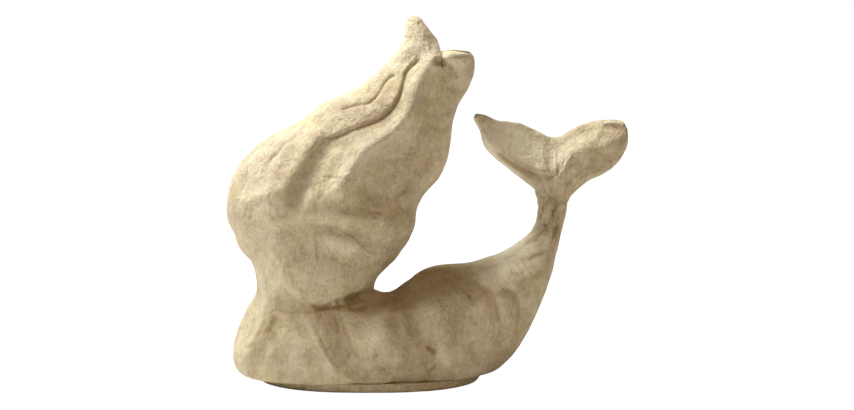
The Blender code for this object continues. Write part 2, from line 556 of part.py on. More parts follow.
def fluke_skin(table, side):
    """Outer and inner points of one skin, from the upper outline to the lower."""
    upper, down, length = lobe_axes(table)
    half_thick, seat = table[:, 4], table[:, 6]
    half_gap = SEAM_GAP / 2
    opened = np.clip(seat / FLUKE["root"].seat, 0, 1)
    # The outer arc stops short of a full half turn where the skin has a seat
    stop = math.pi - np.arcsin(np.clip(seat / half_thick, 0, 1) ** 1.2)
    angles = np.linspace(0, 1, FLUKE_ARC_STEPS + 1)[None, :] * stop[:, None]
    share = (1 - np.cos(angles)) / (1 - np.cos(stop))[:, None]
    rise = half_thick[:, None] * np.abs(np.sin(angles)) ** (1 / 1.2)
    x = upper[:, 0:1] + down[:, 0:1] * share * length[:, None]
    z = upper[:, 1:2] + down[:, 1:2] * share * length[:, None]
    rise += relief(x, z, FLUKE_RELIEF) * smoothstep(np.sin(angles) / SEAM_FADE)
    outer = np.stack([x, middle_y(table, z) + side * (half_gap + rise), z], -1)

    rim = np.minimum(SKIN_RIM, 0.3 * length)
    room = np.full(len(table), CARD_THICKNESS / 2 + SEAM_GAP)
    room[[0, -1]] = half_gap  # the pocket closes at the tips
    passage = np.maximum(seat - SHELL_WALL, half_gap)
    socket = opened * (CORE_SOCKET + 0.5)
    ends = [rim, rim + POCKET_SLOPE]
    low = np.maximum(rim * (1 - opened), 0)
    low_wall = np.maximum(rim + POCKET_SLOPE, socket)
    low_step = low_wall + POCKET_SLOPE + opened
    inner_count = FLUKE_ARC_STEPS + 1 - 5
    between = [ends[1] + (length - low_step - ends[1]) * k / (inner_count + 1)
               for k in range(1, inner_count + 1)]
    down_by = np.stack(ends + between + [length - low_step, length - low_wall, length - low], 1)
    depth = np.stack([np.full(len(table), half_gap)] + [room] * (inner_count + 2)
                     + [np.maximum(room, passage), np.where(opened > 0, passage, half_gap)], 1)
    x = upper[:, 0:1] + down[:, 0:1] * down_by
    z = upper[:, 1:2] + down[:, 1:2] * down_by
    return outer, np.stack([x, middle_y(table, z) + side * depth, z], -1)


def make_fluke(paper, card):
    """Two thin skins pasted together round a card stiffener."""
    table = smooth(table_of(FLUKE), steps(0, len(FLUKE) - 1, 1.5))
    table[:, 6] = np.maximum(table[:, 6], 0)
    for side, label in ((-1, "front"), (1, "back")):
        outer, inner = fluke_skin(table, side)
        slab(f"fluke_{label}_skin", outer, inner, paper)
    upper, down, length = lobe_axes(table)
    margin = SKIN_RIM + POCKET_SLOPE + CARD_MARGIN
    opened = np.clip(table[:, 6] / FLUKE["root"].seat, 0, 1)
    lower_margin = np.maximum(margin, opened * (CORE_SOCKET + CARD_CLEAR))
    kept = length > 3.2 * margin
    share = np.linspace(0, 1, CARD_ROWS)[None, :]
    down_by = margin + (length - lower_margin - margin)[:, None] * share
    x = upper[:, 0:1] + down[:, 0:1] * down_by
    z = upper[:, 1:2] + down[:, 1:2] * down_by
    faces = [np.stack([x, middle_y(table, z) + side * CARD_THICKNESS / 2, z], -1)[kept]
             for side in (-1, 1)]
    slab("fluke_card", faces[0], faces[1], card)


def make_base(card):
    """The flat board under the figure, with its edge rounded over."""
    bm = bmesh.new()
    count = 56
    outline = []
    for k in range(count):
        turn = 2 * math.pi * k / count
        c, s = math.cos(turn), math.sin(turn)
        power = 2 / BASE_FULLNESS
        x = BASE_LENGTH / 2 * math.copysign(abs(c) ** power, c)
        y = BASE_DEPTH / 2 * math.copysign(abs(s) ** power, s)
        outline.append(bm.verts.new((x * MM, y * MM, 0)))
    underside = bm.faces.new(outline)
    made = bmesh.ops.extrude_face_region(bm, geom=[underside])
    top = [v for v in made["geom"] if isinstance(v, bmesh.types.BMVert)]
    bmesh.ops.translate(bm, verts=top, vec=(0, 0, BASE_THICKNESS * MM))
    rims = [e for e in bm.edges if abs(e.verts[0].co.z - e.verts[1].co.z) < 1e-7]
    bmesh.ops.bevel(bm, geom=rims, offset=BASE_EDGE_ROUND * MM, segments=2, profile=0.5,
                    affect="EDGES")
    return add_object("base_board", bm, card)


def main():
    for obj in list(bpy.data.objects):
        bpy.data.objects.remove(obj)
    paper = make_material("kraft_paper", (0.62, 0.50, 0.34), 0.8)
    core_paper = make_material("rolled_paper", (0.55, 0.44, 0.30), 0.85)
    card = make_material("grey_board", (0.45, 0.40, 0.33), 0.9)
    make_base(card)
    make_shells(paper)
    make_hair_ends(paper)
    make_core(core_paper)
    make_fluke(paper, card)


main()
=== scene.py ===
import math

import bpy
import numpy as np
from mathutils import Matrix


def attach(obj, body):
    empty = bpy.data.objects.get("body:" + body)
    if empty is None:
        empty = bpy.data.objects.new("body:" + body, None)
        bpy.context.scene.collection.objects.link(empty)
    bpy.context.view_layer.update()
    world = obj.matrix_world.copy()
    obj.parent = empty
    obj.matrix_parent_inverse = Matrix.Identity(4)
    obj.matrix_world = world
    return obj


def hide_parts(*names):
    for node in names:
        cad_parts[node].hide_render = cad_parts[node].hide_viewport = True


# Paper mermaid lying on a flat board: hair streaming up to two ends, tail curled over to a fluke.
# Lengths in the tables are millimetres; meshes are made in metres.

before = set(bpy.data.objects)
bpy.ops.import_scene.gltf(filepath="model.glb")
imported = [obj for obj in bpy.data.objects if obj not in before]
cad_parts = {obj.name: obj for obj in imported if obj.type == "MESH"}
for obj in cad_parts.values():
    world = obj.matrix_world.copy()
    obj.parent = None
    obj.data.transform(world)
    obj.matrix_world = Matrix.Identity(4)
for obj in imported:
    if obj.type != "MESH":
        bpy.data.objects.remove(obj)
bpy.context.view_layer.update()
print("frame loaded:", len(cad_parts), "nodes")

scene = bpy.context.scene
mm = 0.001
floorHeight = 4.3  # underside of the figure, on top of the board
wall = 2.2  # moulded paper of the shells


def smoothstep(t):
    t = np.clip(t, 0, 1)
    return t * t * (3 - 2 * t)


# Catmull-Rom: a smooth curve through the rows of a table, read at any fractional places
def readTable(table, places):
    last = len(table) - 1
    i = np.clip(np.floor(places).astype(int), 0, last - 1)
    t = (places - i)[..., None]
    p1, p2 = table[i], table[i + 1]
    p0 = np.where((i > 0)[..., None], table[np.maximum(i - 1, 0)], 2 * p1 - p2)
    p3 = np.where((i + 2 <= last)[..., None], table[np.minimum(i + 2, last)], 2 * p2 - p1)
    return 0.5 * (2 * p1 + (p2 - p0) * t + (2 * p0 - 5 * p1 + 4 * p2 - p3) * t**2
                  + (3 * p1 - p0 - 3 * p2 + p3) * t**3)


lattice = np.random.default_rng(21).uniform(-1, 1, (32, 32, 32))


# Random numbers on a cubic lattice, blended by t*t*t*(6t*t - 15t + 10) along each axis
def softNoise(points, size, shift=0):
    q = points / size + shift
    cell = np.floor(q).astype(int)
    t = q - cell
    t = t**3 * (t * (6 * t - 15) + 10)
    total = np.zeros(q.shape[:-1])
    for corner in range(8):
        step = np.array([corner & 1, corner >> 1 & 1, corner >> 2])
        weight = np.prod(np.where(step, t, 1 - t), axis=-1)
        k = (cell + step) % 32
        total += weight * lattice[k[..., 0], k[..., 1], k[..., 2]]
    return total


strokeReach = 2.6  # in radii: past this a stroke is too faint to work out
strokeFade = 1.5  # in radii: how far from its ends it reaches its full height
lipGain = 2.3  # brings the peak of q * exp(-q^2) to about 1


# Tool strokes drawn as lines of (x, z): height * exp(-(d/r)^2) across the line, where a lip
# raises its left side and lowers its right one, fading towards both ends
def strokeHeight(x, z, strokes, endShare=0.4):
    height = np.zeros(x.shape)
    flatX, flatZ, flat = x.ravel(), z.ravel(), height.ravel()
    for stroke in strokes:
        points, radius, bump = stroke[:3]
        lip = stroke[3] if len(stroke) > 3 else 0
        line = np.array(points, float)
        if len(line) > 2:
            line = readTable(line, np.linspace(0, len(line) - 1, 4 * (len(line) - 1) + 1))
        low, high = line.min(0) - strokeReach * radius, line.max(0) + strokeReach * radius
        near = np.flatnonzero((flatX > low[0]) & (flatX < high[0]) & (flatZ > low[1]) & (flatZ < high[1]))
        px, pz = flatX[near], flatZ[near]
        nearest, share, side = np.full(len(near), 1e9), 0, 0
        for i, (start, end) in enumerate(zip(line[:-1], line[1:])):
            run = end - start
            dx, dz = px - start[0], pz - start[1]
            t = np.clip((dx * run[0] + dz * run[1]) / (run @ run), 0, 1)
            away = np.hypot(dx - t * run[0], dz - t * run[1])
            closer = away < nearest
            share = np.where(closer, (i + t) / (len(line) - 1), share)
            turned = (run[0] * dz - run[1] * dx) / (np.hypot(*run) * np.maximum(away, 1e-6))
            side = np.where(closer, turned, side)
            nearest = np.where(closer, away, nearest)
        length = np.linalg.norm(np.diff(line, axis=0), axis=1).sum()
        ends = smoothstep(np.minimum(share, 1 - share) * length / (strokeFade * radius))
        fade = 1 if length < 2 * strokeFade * radius else endShare + (1 - endShare) * ends
        across = nearest / radius
        flat[near] += fade * np.exp(-across**2) * (bump + lipGain * lip * side * across)
    return height


# Four corners for each square of a grid of point numbers
def gridFaces(index):
    return np.stack([index[:-1, :-1], index[1:, :-1], index[1:, 1:], index[:-1, 1:]], -1).reshape(-1, 4)


# One closed mesh from an outer and an inner grid of points, joined round their edges.
# wrap joins the last column to the first, and then only the end rows are joined
def sheetMesh(name, outer, inner, wrap=False):
    rows, columns = outer.shape[:2]
    index = np.arange(rows * columns).reshape(rows, columns)
    if wrap:
        index = np.hstack([index, index[:, :1]])
    under = index + rows * columns
    top = gridFaces(index)
    faces = [top, (top + rows * columns)[:, ::-1]]
    edges = [(index[0], under[0]), (under[-1], index[-1])]
    if not wrap:
        edges += [(under[:, 0], index[:, 0]), (index[:, -1], under[:, -1])]
    for a, b in edges:
        faces.append(np.stack([a[:-1], a[1:], b[1:], b[:-1]], -1))
    return solidMesh(name, np.concatenate([outer.reshape(-1, 3), inner.reshape(-1, 3)]), faces)


# One closed mesh from rings of points, each end drawn together to a pole
def podMesh(name, rings, firstPole, lastPole):
    rows, columns = rings.shape[:2]
    index = np.arange(rows * columns).reshape(rows, columns)
    index = np.hstack([index, index[:, :1]])
    body = gridFaces(index)
    first, last = rows * columns, rows * columns + 1
    start = np.stack([np.full(columns, first), index[0, :-1], index[0, 1:]], -1)
    end = np.stack([np.full(columns, last), index[-1, 1:], index[-1, :-1]], -1)
    points = np.concatenate([rings.reshape(-1, 3), [firstPole, lastPole]])
    return solidMesh(name, points, [body, start, end])


def addObject(name, data):
    thing = bpy.data.objects.new(name, data)
    scene.collection.objects.link(thing)
    return thing


# Faces turned outwards by the sign of the volume: the sum of a . (b x c) over the triangles
def solidMesh(name, points, faces):
    points = points * mm
    volume = 0
    for group in faces:
        for k in range(1, group.shape[1] - 1):
            a, b, c = points[group[:, 0]], points[group[:, k]], points[group[:, k + 1]]
            volume += np.einsum("ij,ij->", a, np.cross(b, c))
    if volume < 0:
        faces = [group[:, ::-1] for group in faces]
    sizes = np.concatenate([np.full(len(group), group.shape[1]) for group in faces])
    corners = np.concatenate([group.ravel() for group in faces])
    mesh = bpy.data.meshes.new(name)
    mesh.vertices.add(len(points))
    mesh.vertices.foreach_set("co", points.ravel().astype(np.float32))
    mesh.loops.add(len(corners))
    mesh.loops.foreach_set("vertex_index", corners.astype(np.int32))
    mesh.polygons.add(len(sizes))
    mesh.polygons.foreach_set("loop_start", np.concatenate([[0], np.cumsum(sizes)[:-1]]).astype(np.int32))
    mesh.update(calc_edges=True)
    mesh.validate()
    mesh.shade_smooth()
    mesh.set_sharp_from_angle(angle=math.radians(70))
    return addObject(name, mesh)


class Wire:
    # One output of a node: sums and products of wires add the Math nodes

    def __init__(self, maker, output):
        self.maker, self.output = maker, output

    def maths(self, operation, *values):
        return self.maker.add("Math", {"operation": operation}, dict(enumerate(values)))

    def __add__(self, other):
        return self.maths("ADD", self, other)

    def __sub__(self, other):
        return self.maths("SUBTRACT", self, other)

    def __rsub__(self, other):
        return self.maths("SUBTRACT", other, self)

    def __mul__(self, other):
        return self.maths("MULTIPLY", self, other)

    def __abs__(self):
        return self.maths("ABSOLUTE", self)

    def clip(self):
        return self.maths("MINIMUM", self.maths("MAXIMUM", self, 0), 1)

    __radd__ = __add__


class Maker:
    # Adds nodes to one material or world

    def __init__(self, material):
        material.use_nodes = True
        self.tree = material.node_tree
        self.tree.nodes.clear()

    def add(self, kind, settings=None, sockets=None, output=0):
        node = self.tree.nodes.new("ShaderNode" + kind)
        for name, value in (settings or {}).items():
            if name == "stops":
                ramp = node.color_ramp.elements
                for stop, (place, colour) in zip(ramp, value):
                    stop.position, stop.color = place, (*colour, 1)
            else:
                setattr(node, name, value)
        for name, value in (sockets or {}).items():
            if isinstance(value, Wire):
                self.tree.links.new(value.output, node.inputs[name])
            else:
                node.inputs[name].default_value = value
        if len(node.outputs):
            return Wire(self, node.outputs[output])

    # matt paper with a height in millimetres
    def paper(self, colour, roughness, height, strength, sockets):
        bump = self.add("Bump", None, {"Strength": strength, "Distance": mm, "Height": height}, "Normal")
        shader = self.add("BsdfPrincipled", None,
                          {"Base Color": colour, "Roughness": roughness, "Normal": bump, **sockets})
        self.add("OutputMaterial", None, {"Surface": shader})


# Kraft paper pasted on in torn pieces: cloudy colour, overlapping patches with a faint edge,
# curly fibres, dark specks, painted grey-brown shade in the creases, painted light and shade in strokes
kraftLook = {
    "pale": (0.674, 0.558, 0.346),
    "deep": (0.452, 0.345, 0.186),
    "pinkPale": (0.682, 0.546, 0.376),
    "pinkDeep": (0.458, 0.338, 0.208),
    # colours of the painted light, the painted shade and the painted shade in the creases
    "paintedLit": (0.9, 0.785, 0.565),
    "paintedShade": (0.33, 0.225, 0.12),
    "paintedCreaseShade": (0.6, 0.48, 0.36),
    "speck": (0.16, 0.1, 0.05),
    "roughness": 0.78,
    # metres across one cell of each pattern
    "sizes": {"patch": 0.015, "cloud": 0.022, "small": 0.0045, "fleck": 0.0013, "grain": 0.0007,
              "fibreA": 0.004, "fibreB": 0.0036, "speck": 0.0042, "crease": 0.0055,
              "blot": 0.0032, "wrinkle": 0.0048, "hue": 0.0075, "broadHue": 0.03},
    # how far each pattern darkens the paper, from the level that the paper has by itself
    "tone": {"level": 0.44, "cloud": 1, "small": 1.7, "fleck": 1.1, "grain": 0.8, "patch": 0.34,
             "edge": 0.12, "fibres": 0.3, "crease": 0.3, "blot": 0.14},
    "hues": {"hue": 3.4, "broadHue": 1.6},
    # millimetres that each pattern raises it, with the patch as thick as a sheet
    "relief": {"patch": 0.1, "small": 0.36, "fleck": 0.07, "grain": 0.05, "fibres": 0.06,
               "edge": 0.05, "wrinkles": 1, "crease": -0.14},
}


def makePaper(name, look):
    material = bpy.data.materials.new(name)
    m = Maker(material)
    place = m.add("TexCoord", output="Object")
    size, tones, hues, relief = look["sizes"], look["tone"], look["hues"], look["relief"]

    def noise(size, detail=2, at=place, output=0, roughness=0.5):
        return m.add("TexNoise", None,
                     {"Vector": at, "Scale": 1 / size, "Detail": detail, "Roughness": roughness}, output)

    def cells(size, output, at=place, feature="F1"):
        return m.add("TexVoronoi", {"feature": feature}, {"Vector": at, "Scale": 1 / size}, output)

    def channel(colour, name):
        return m.add("SeparateColor", None, {"Color": colour}, name)

    def moved(at, amount, size):
        bend = m.add("VectorMath", {"operation": "SUBTRACT"},
                     {0: noise(size, 1, at, "Color"), 1: (0.5, 0.5, 0.5)})
        return m.add("VectorMath", {"operation": "MULTIPLY_ADD"},
                     {0: bend, 1: (amount, amount, amount), 2: at})

    def turned(at, angles, scale):
        return m.add("Mapping", None, {"Vector": at, "Rotation": angles, "Scale": scale})

    def ramp(value, pale, deep):
        stops = [(0, look[pale]), (1, look[deep])]
        return m.add("ValToRGB", {"stops": stops}, {"Fac": value}, "Color")

    # a colour Mix reads its factor at socket 0 and its colours at 6 and 7
    def mixed(factor, under, over, blend="MIX"):
        return m.add("Mix", {"data_type": "RGBA", "blend_type": blend},
                     {0: factor, 6: under, 7: over}, 2)

    torn = moved(turned(place, (0.3, 0.5, 0.2), (1, 1, 0.55)), 0.008, 0.006)
    patch = channel(cells(size["patch"], "Color", torn), "Red")
    edgeLine = (1 - cells(size["patch"], "Distance", torn, "DISTANCE_TO_EDGE") * 22).clip()

    cloud = noise(size["cloud"], 3)
    small = noise(size["small"], 4, roughness=0.65)
    streaky = moved(turned(place, (0, 0.25, 0), (1, 1, 0.55)), 0.002, 0.01)
    fleck = noise(size["fleck"], 2, streaky, roughness=0.6)
    grain = noise(size["grain"], 3, streaky, roughness=0.7)

    curledA = moved(turned(place, (0.7, 0.2, 1.1), (1, 2.6, 1)), 0.006, 0.008)
    fibreA = (1 - abs(noise(size["fibreA"], 1, curledA) - 0.5) * 34).clip()
    curledB = moved(turned(place, (1.3, 0.9, 0.2), (2.4, 1, 1)), 0.005, 0.007)
    fibreB = (1 - abs(noise(size["fibreB"], 1, curledB) - 0.48) * 38).clip()
    sparse = ((noise(0.01, 1) - 0.5) * 8).clip()
    fibres = (fibreA * 0.6 + fibreB * 0.6) * sparse

    dot = (1 - cells(size["speck"], "Distance") * 9).clip()
    specks = dot * ((channel(cells(size["speck"], "Color"), "Green") - 0.8) * 20).clip()

    creased = abs(noise(size["crease"], 3, moved(place, 0.004, 0.005), roughness=0.6) - 0.5)
    creaseLine = (1 - creased * 26).clip() * ((noise(0.012, 1) - 0.42) * 5).clip()
    blot = ((noise(size["blot"], 2, moved(place, 0.003, 0.004)) - 0.47) * 7).clip()
    wrinkles = abs(noise(size["wrinkle"], 3, moved(place, 0.004, 0.005), roughness=0.6) - 0.5)

    tone = (tones["level"] + (cloud - 0.5) * tones["cloud"] + (small - 0.5) * tones["small"]
            + (fleck - 0.5) * tones["fleck"] + (grain - 0.5) * tones["grain"]
            + (patch - 0.5) * tones["patch"] + edgeLine * tones["edge"] + fibres * tones["fibres"]
            + creaseLine * tones["crease"] + blot * tones["blot"]).clip()
    hue = ((noise(size["hue"], 3) - 0.5) * hues["hue"]
           + (noise(size["broadHue"], 1) - 0.5) * hues["broadHue"] + 0.5).clip()
    colour = mixed(hue, ramp(tone, "pale", "deep"), ramp(tone, "pinkPale", "pinkDeep"))

    # the marks that markPaper leaves on the mesh: painted shade in the creases, painted light and shade in
    # strokes
    crease = m.add("Attribute", {"attribute_name": "crease"}, None, "Fac")
    paintedLight = m.add("Attribute", {"attribute_name": "paintedLight"}, None, "Fac")
    # painted light where the strokes rise above 0, painted shade where they fall below it
    colour = mixed(paintedLight.clip() * 0.7, colour, (*look["paintedLit"], 1))
    colour = mixed((0 - paintedLight).clip() * 0.9, colour, (*look["paintedShade"], 1))
    # painted shade: the creases darkened by their depth
    colour = mixed(crease, colour, (*look["paintedCreaseShade"], 1), "MULTIPLY")
    colour = mixed(specks * 0.7, colour, (*look["speck"], 1))

    height = (patch * relief["patch"] + small * relief["small"] + fleck * relief["fleck"]
              + grain * relief["grain"] + fibres * relief["fibres"] + edgeLine * relief["edge"]
              + wrinkles * relief["wrinkles"] + creaseLine * relief["crease"])
    roughness = look["roughness"] + (small - 0.5) * 0.12
    m.paper(colour, roughness, height, 1, {"IOR": 1.4, "Specular IOR Level": 0.35})
    return material


# Bare card and rolled paper inside the figure: grey-brown pulp with short fibres
def makeCard(name, pale, deep):
    material = bpy.data.materials.new(name)
    m = Maker(material)
    place = m.add("TexCoord", output="Object")
    pulp = m.add("TexNoise", None, {"Vector": place, "Scale": 900, "Detail": 4})
    streak = m.add("Mapping", None, {"Vector": place, "Scale": (400, 400, 2400)})
    fibre = m.add("TexNoise", None, {"Vector": streak, "Scale": 1, "Detail": 2})
    colour = m.add("ValToRGB", {"stops": [(0.3, pale), (0.7, deep)]},
                   {"Fac": pulp * 0.6 + fibre * 0.4}, "Color")
    m.paper(colour, 0.88, pulp * 0.1, 0.6, {})
    return material


kraftPaper = makePaper("kraftPaper", kraftLook)
hiddenCard = makeCard("stiffenerCard", (0.36, 0.32, 0.26), (0.24, 0.21, 0.17))
rolledPaper = makeCard("rolledPaper", (0.48, 0.37, 0.22), (0.34, 0.25, 0.15))
print("materials")


# One long S-shaped tube from the hair's end to the top of the tail stalk. A section:
# far (x, z) and near (x, z) silhouette points, front and back depth, lift of the front half
# in degrees, fullness of the near and the far half (2 is an ellipse, more is squarer)
tube = {
    "split": (7.2, 134.4, 44.5, 130, 10.5, 11, 14, 1.9, 1.8),
    "lock7": (0.7, 128.5, 42, 124.1, 12.5, 13, 15, 1.7, 1.75),
    "lock6": (-8.2, 122.6, 38.1, 116.7, 15, 16, 16, 1.65, 1.75),
    "lock5": (-20.9, 116.4, 35.7, 108.9, 18, 18.5, 16, 1.65, 1.75),
    "lock4": (-30.6, 109.3, 34.8, 101, 21, 21, 16, 1.65, 1.8),
    "lock3": (-43.2, 102.5, 32.9, 93.2, 24, 23.5, 16, 1.65, 1.85),
    "lock2": (-52.7, 94.2, 28.7, 85.3, 26.5, 26, 15, 1.7, 1.9),
    "lock1": (-57.8, 85.3, 23.3, 78.5, 29, 28, 15, 1.75, 1.95),
    "bulgeTop": (-60.2, 76.5, 19.8, 72.1, 31, 29, 16, 1.85, 2),
    "bulge": (-60.3, 68.2, 19.2, 65.7, 32.5, 29, 19, 1.95, 2.05),
    "crown": (-57.2, 60.8, 17.1, 59.8, 34, 28.5, 25, 2.05, 2.2),
    "temples": (-55.2, 54.9, 13.6, 54.4, 35, 27.5, 31, 2.1, 2.2),
    "hairline": (-50.7, 49.5, 9.2, 49, 34.5, 26.5, 34, 2.15, 2.2),
    "jaw": (-48.7, 42.7, 3.3, 42.7, 30.5, 25, 16, 2.2, 2.2),
    "neck": (-48.7, 35.8, 1.3, 36.6, 25, 22, 0, 2.2, 2.2),
    "collar": (-52.7, 29.4, 2.3, 36, 27, 25, 0, 2.25, 2.3),
    "shoulder": (-56, 20.7, 3.3, 35.3, 29.5, 28, 0, 2.35, 2.5),
    "elbow": (-58.2, 12, 4.1, 34.9, 31.5, 30, 0, 2.5, 2.9),
    "elbowHeel": (-55.8, 4.6, 4.8, 34.7, 32.5, 31, 0, 2.5, 3.2),
    "chest": (-42, -6.3, 5.8, 34.5, 33, 31.5, 0, 2.5, 4.5),
    "ribs": (-20.2, -5.8, 7, 34.4, 33, 31.5, 0, 2.5, 5.5),
    "belly": (-2.2, -5.4, 8.4, 34.6, 32, 31.5, 0, 2.5, 5.5),
    "waist": (12.8, -5.4, 11, 35.7, 30.5, 31, 0, 2.5, 5.2),
    "loin": (24.8, -5, 15.4, 39.3, 29, 30.5, 0, 2.45, 4.8),
    "hip": (35.8, -5, 21.6, 44.1, 27.5, 29.5, 0, 2.4, 4),
    "tail1": (46.8, -3.5, 29.7, 47.2, 26, 27.5, 0, 2.3, 2.9),
    "tail2": (55.7, 3.8, 39.8, 48.2, 24, 25, 0, 2.2, 2.4),
    "tail3": (63.1, 11.6, 48.7, 50.3, 21.5, 22, 0, 2.1, 2.1),
    "tail4": (68.4, 21.3, 56.5, 53.5, 18.5, 18.5, 0, 2, 2),
    "tail5": (73.5, 31.8, 63.5, 58, 15, 15, 0, 2, 2),
    "tail6": (78.1, 44.6, 69.1, 62.7, 11, 11, 0, 2, 2),
    "stalk1": (80.8, 58.3, 71.6, 69.4, 7.5, 7.5, 0, 2, 2),
    "stalk2": (83.6, 68.7, 72.2, 75, 5.2, 5.2, 0, 2, 2),
    "stalkTop": (84.7, 76.2, 70.7, 80.4, 4.8, 4.8, 0, 2, 2),
    "socket": (83, 84.5, 74.5, 86.5, 3, 3, 0, 2, 2),
}
tubePlace = {name: float(i) for i, name in enumerate(tube)}
tubeTable = np.array(list(tube.values()), float)

# Two thin overlaps in the hair, which are both a broad form and a fine crease
longOverlap = [(16, 133), (15, 129), (14, 125), (12, 121), (9, 117), (5, 114), (0, 112), (-6, 110),
               (-11, 108), (-17, 106)]
shortOverlap = [(11, 131), (9, 130), (7, 128), (5, 125), (3, 122), (0, 120), (-5, 119), (-11, 117)]

# Broad forms pressed into the paper: points (x, z), radius, height (below 0 a groove), lip
frontForms = [
    # hair: the overlaps, the valley below them, and the bright second crest with its steep side
    ([(21, 138), *longOverlap], 1.2, -0.3, -0.42),
    ([(-11, 107), (-17, 104), (-20, 100), (-23, 94), (-26, 88), (-29, 82), (-31, 75)], 4.2, -2.1, -0.6),
    ([(-21, 107), (-26, 102), (-28, 97), (-32, 92), (-34, 86)], 3.2, 0.9, 0.3),
    ([(32, 140), (26, 136), (22, 131), (19, 125), (17, 119), (14, 114), (9, 109), (3, 105), (-2, 101),
      (-5, 97), (-9, 91.5), (-13, 86), (-17, 80)], 4.4, 3.9, 1),
    ([(27, 127), (25, 117), (20, 108), (14, 101), (8, 94), (3, 87), (-2, 80)], 5.4, -2, -0.55),
    ([(-23, 88), (-24, 76), (-25, 64)], 4, 1.3), ([(35, 132), (33, 124), (32, 115), (32, 108)], 2.4, 1.5),
    ([(38, 135), (37, 129), (35, 122)], 2.4, -0.7), ([(21, 153), (23, 147), (24, 142), (24, 137)], 3.4, 0.7),
    ([(34, 117), (32, 107), (30, 96), (25, 89), (19, 83), (16, 76), (15, 68), (14, 61)], 2.4, 1.2, 0.1),
    ([(29, 104), (25, 96), (20, 90), (15, 84), (12, 78), (11, 70)], 2.7, -1.9),
    (shortOverlap, 1, -0.4, -0.05),
    ([(13, 131), (11, 125), (7, 120), (1, 117), (-6, 114), (-14, 111)], 2.6, 0.3, 0.2),
    ([(-37, 99), (-40, 97), (-43, 95)], 1.9, -0.35), ([(-44, 94), (-49, 90), (-53, 85)], 4.3, -0.7, -0.3),
    ([(-33, 89), (-41, 86), (-50, 81)], 4, 0.1, 0.4), ([(-40, 81), (-46, 78), (-52, 74)], 3.2, -0.8),
    ([(7, 66), (4, 71), (2, 75)], 2, -0.7), ([(-1, 65), (2, 70), (4, 74)], 1.6, 0.7),
    # face: soft brow, eye hollow, nose, cheek, chin and the crease under it
    ([(-21, 65), (-15, 64), (-8, 62), (-1, 58)], 4.2, 1.9),
    ([(-26, 61), (-21, 60), (-15, 58), (-11, 55)], 3.4, -1.2), ([(-22, 65), (-22, 61), (-22, 56)], 1.8, 1),
    ([(-36, 57), (-35, 49)], 8, 2.1, 0.15), ([(-11, 46), (-5, 46)], 6.6, 0.6),
    ([(-19, 42), (-16, 42)], 4, 0.2), ([(-44, 27), (-40, 35), (-35, 43)], 5, 1.5),
    ([(-28, 38), (-23, 36), (-18, 35), (-11, 36)], 2.1, -1.1, -0.15),
    ([(-11, 37), (-6, 37), (-1, 37), (4, 36)], 2.8, -3, -0.3), ([(-44, 53), (-43, 45)], 4, 1.2),
    # arms: flat facet of the bent elbow, forearm and the round shoulder
    ([(-50, 32), (-53, 24), (-55, 16)], 4.2, -0.2),
    ([(-41, 38), (-41, 33), (-42, 28), (-45, 23), (-49, 18), (-53, 12)], 3.1, 1.9),
    ([(-36, 36), (-36, 31), (-38, 26), (-41, 21), (-44, 15), (-48, 10)], 3.2, -0.6),
    ([(-27, 15), (-23, 9)], 7.4, 2.3, 0.2),
    ([(-24, 34), (-21, 28), (-18, 20), (-14, 13), (-8, 7)], 3.2, 1.7),
    ([(-13, 34), (-11, 27), (-9, 20), (-5, 14), (1, 9)], 4, -1.7), ([(6, 27), (8, 20)], 7.6, 4.6),
    ([(12, 34), (15, 28), (15, 21)], 2.4, 0.8, 0.3),
    ([(15, 21), (13.5, 13), (10, 7), (3, 4), (-4, 5)], 2, 1.5),
    ([(19, 35), (20, 27), (19, 17), (15, 8)], 5, -2.5),
    ([(12, 36), (24, 42), (37, 44), (48, 43)], 4.6, -1.7), ([(-19, 6), (-8, -4), (7, -5)], 1.3, -0.6),
    # tail: knee, folds and the twist into the stalk
    ([(32, 31), (33, 23), (32, 14)], 4.5, 2.4, 0.1), ([(26, 28), (25, 20), (26, 14)], 3, -1.6),
    ([(40, 37), (41, 27), (40, 17)], 4.5, -0.8),
    ([(45, 46), (51, 42), (54, 34), (55, 26), (54, 16)], 2.3, -1.3, 0.6),
    ([(56, 42), (60, 41), (63, 37), (65, 28), (62, 18)], 2.1, -1.6, 0.35),
    ([(57, 37), (59, 29), (58, 19)], 2.5, 0.9), ([(68, 36), (68, 27), (65, 19)], 2.2, 1),
    ([(63, 45), (70, 48), (75, 53), (78, 60), (79, 69)], 2.6, -1.5),
    ([(54, 46.5), (60, 48.5), (66, 51.5), (71, 56), (74, 61)], 4.6, 4),
    ([(73.5, 60), (75, 66), (75.5, 74), (76, 83)], 1.9, 1.5), ([(73, 54), (73, 46), (71, 37)], 2, 1),
    ([(69, 50), (67, 43), (68, 37)], 2.5, -1.2), ([(78, 57), (78, 52), (76, 46)], 2.2, -1),
    ([(82, 59), (82, 69), (83, 78)], 1.3, 0.6),
    ([(70.5, 80.5), (74, 77.2), (78, 75.6), (82, 75), (85, 76.2)], 1.6, 0.5),
]
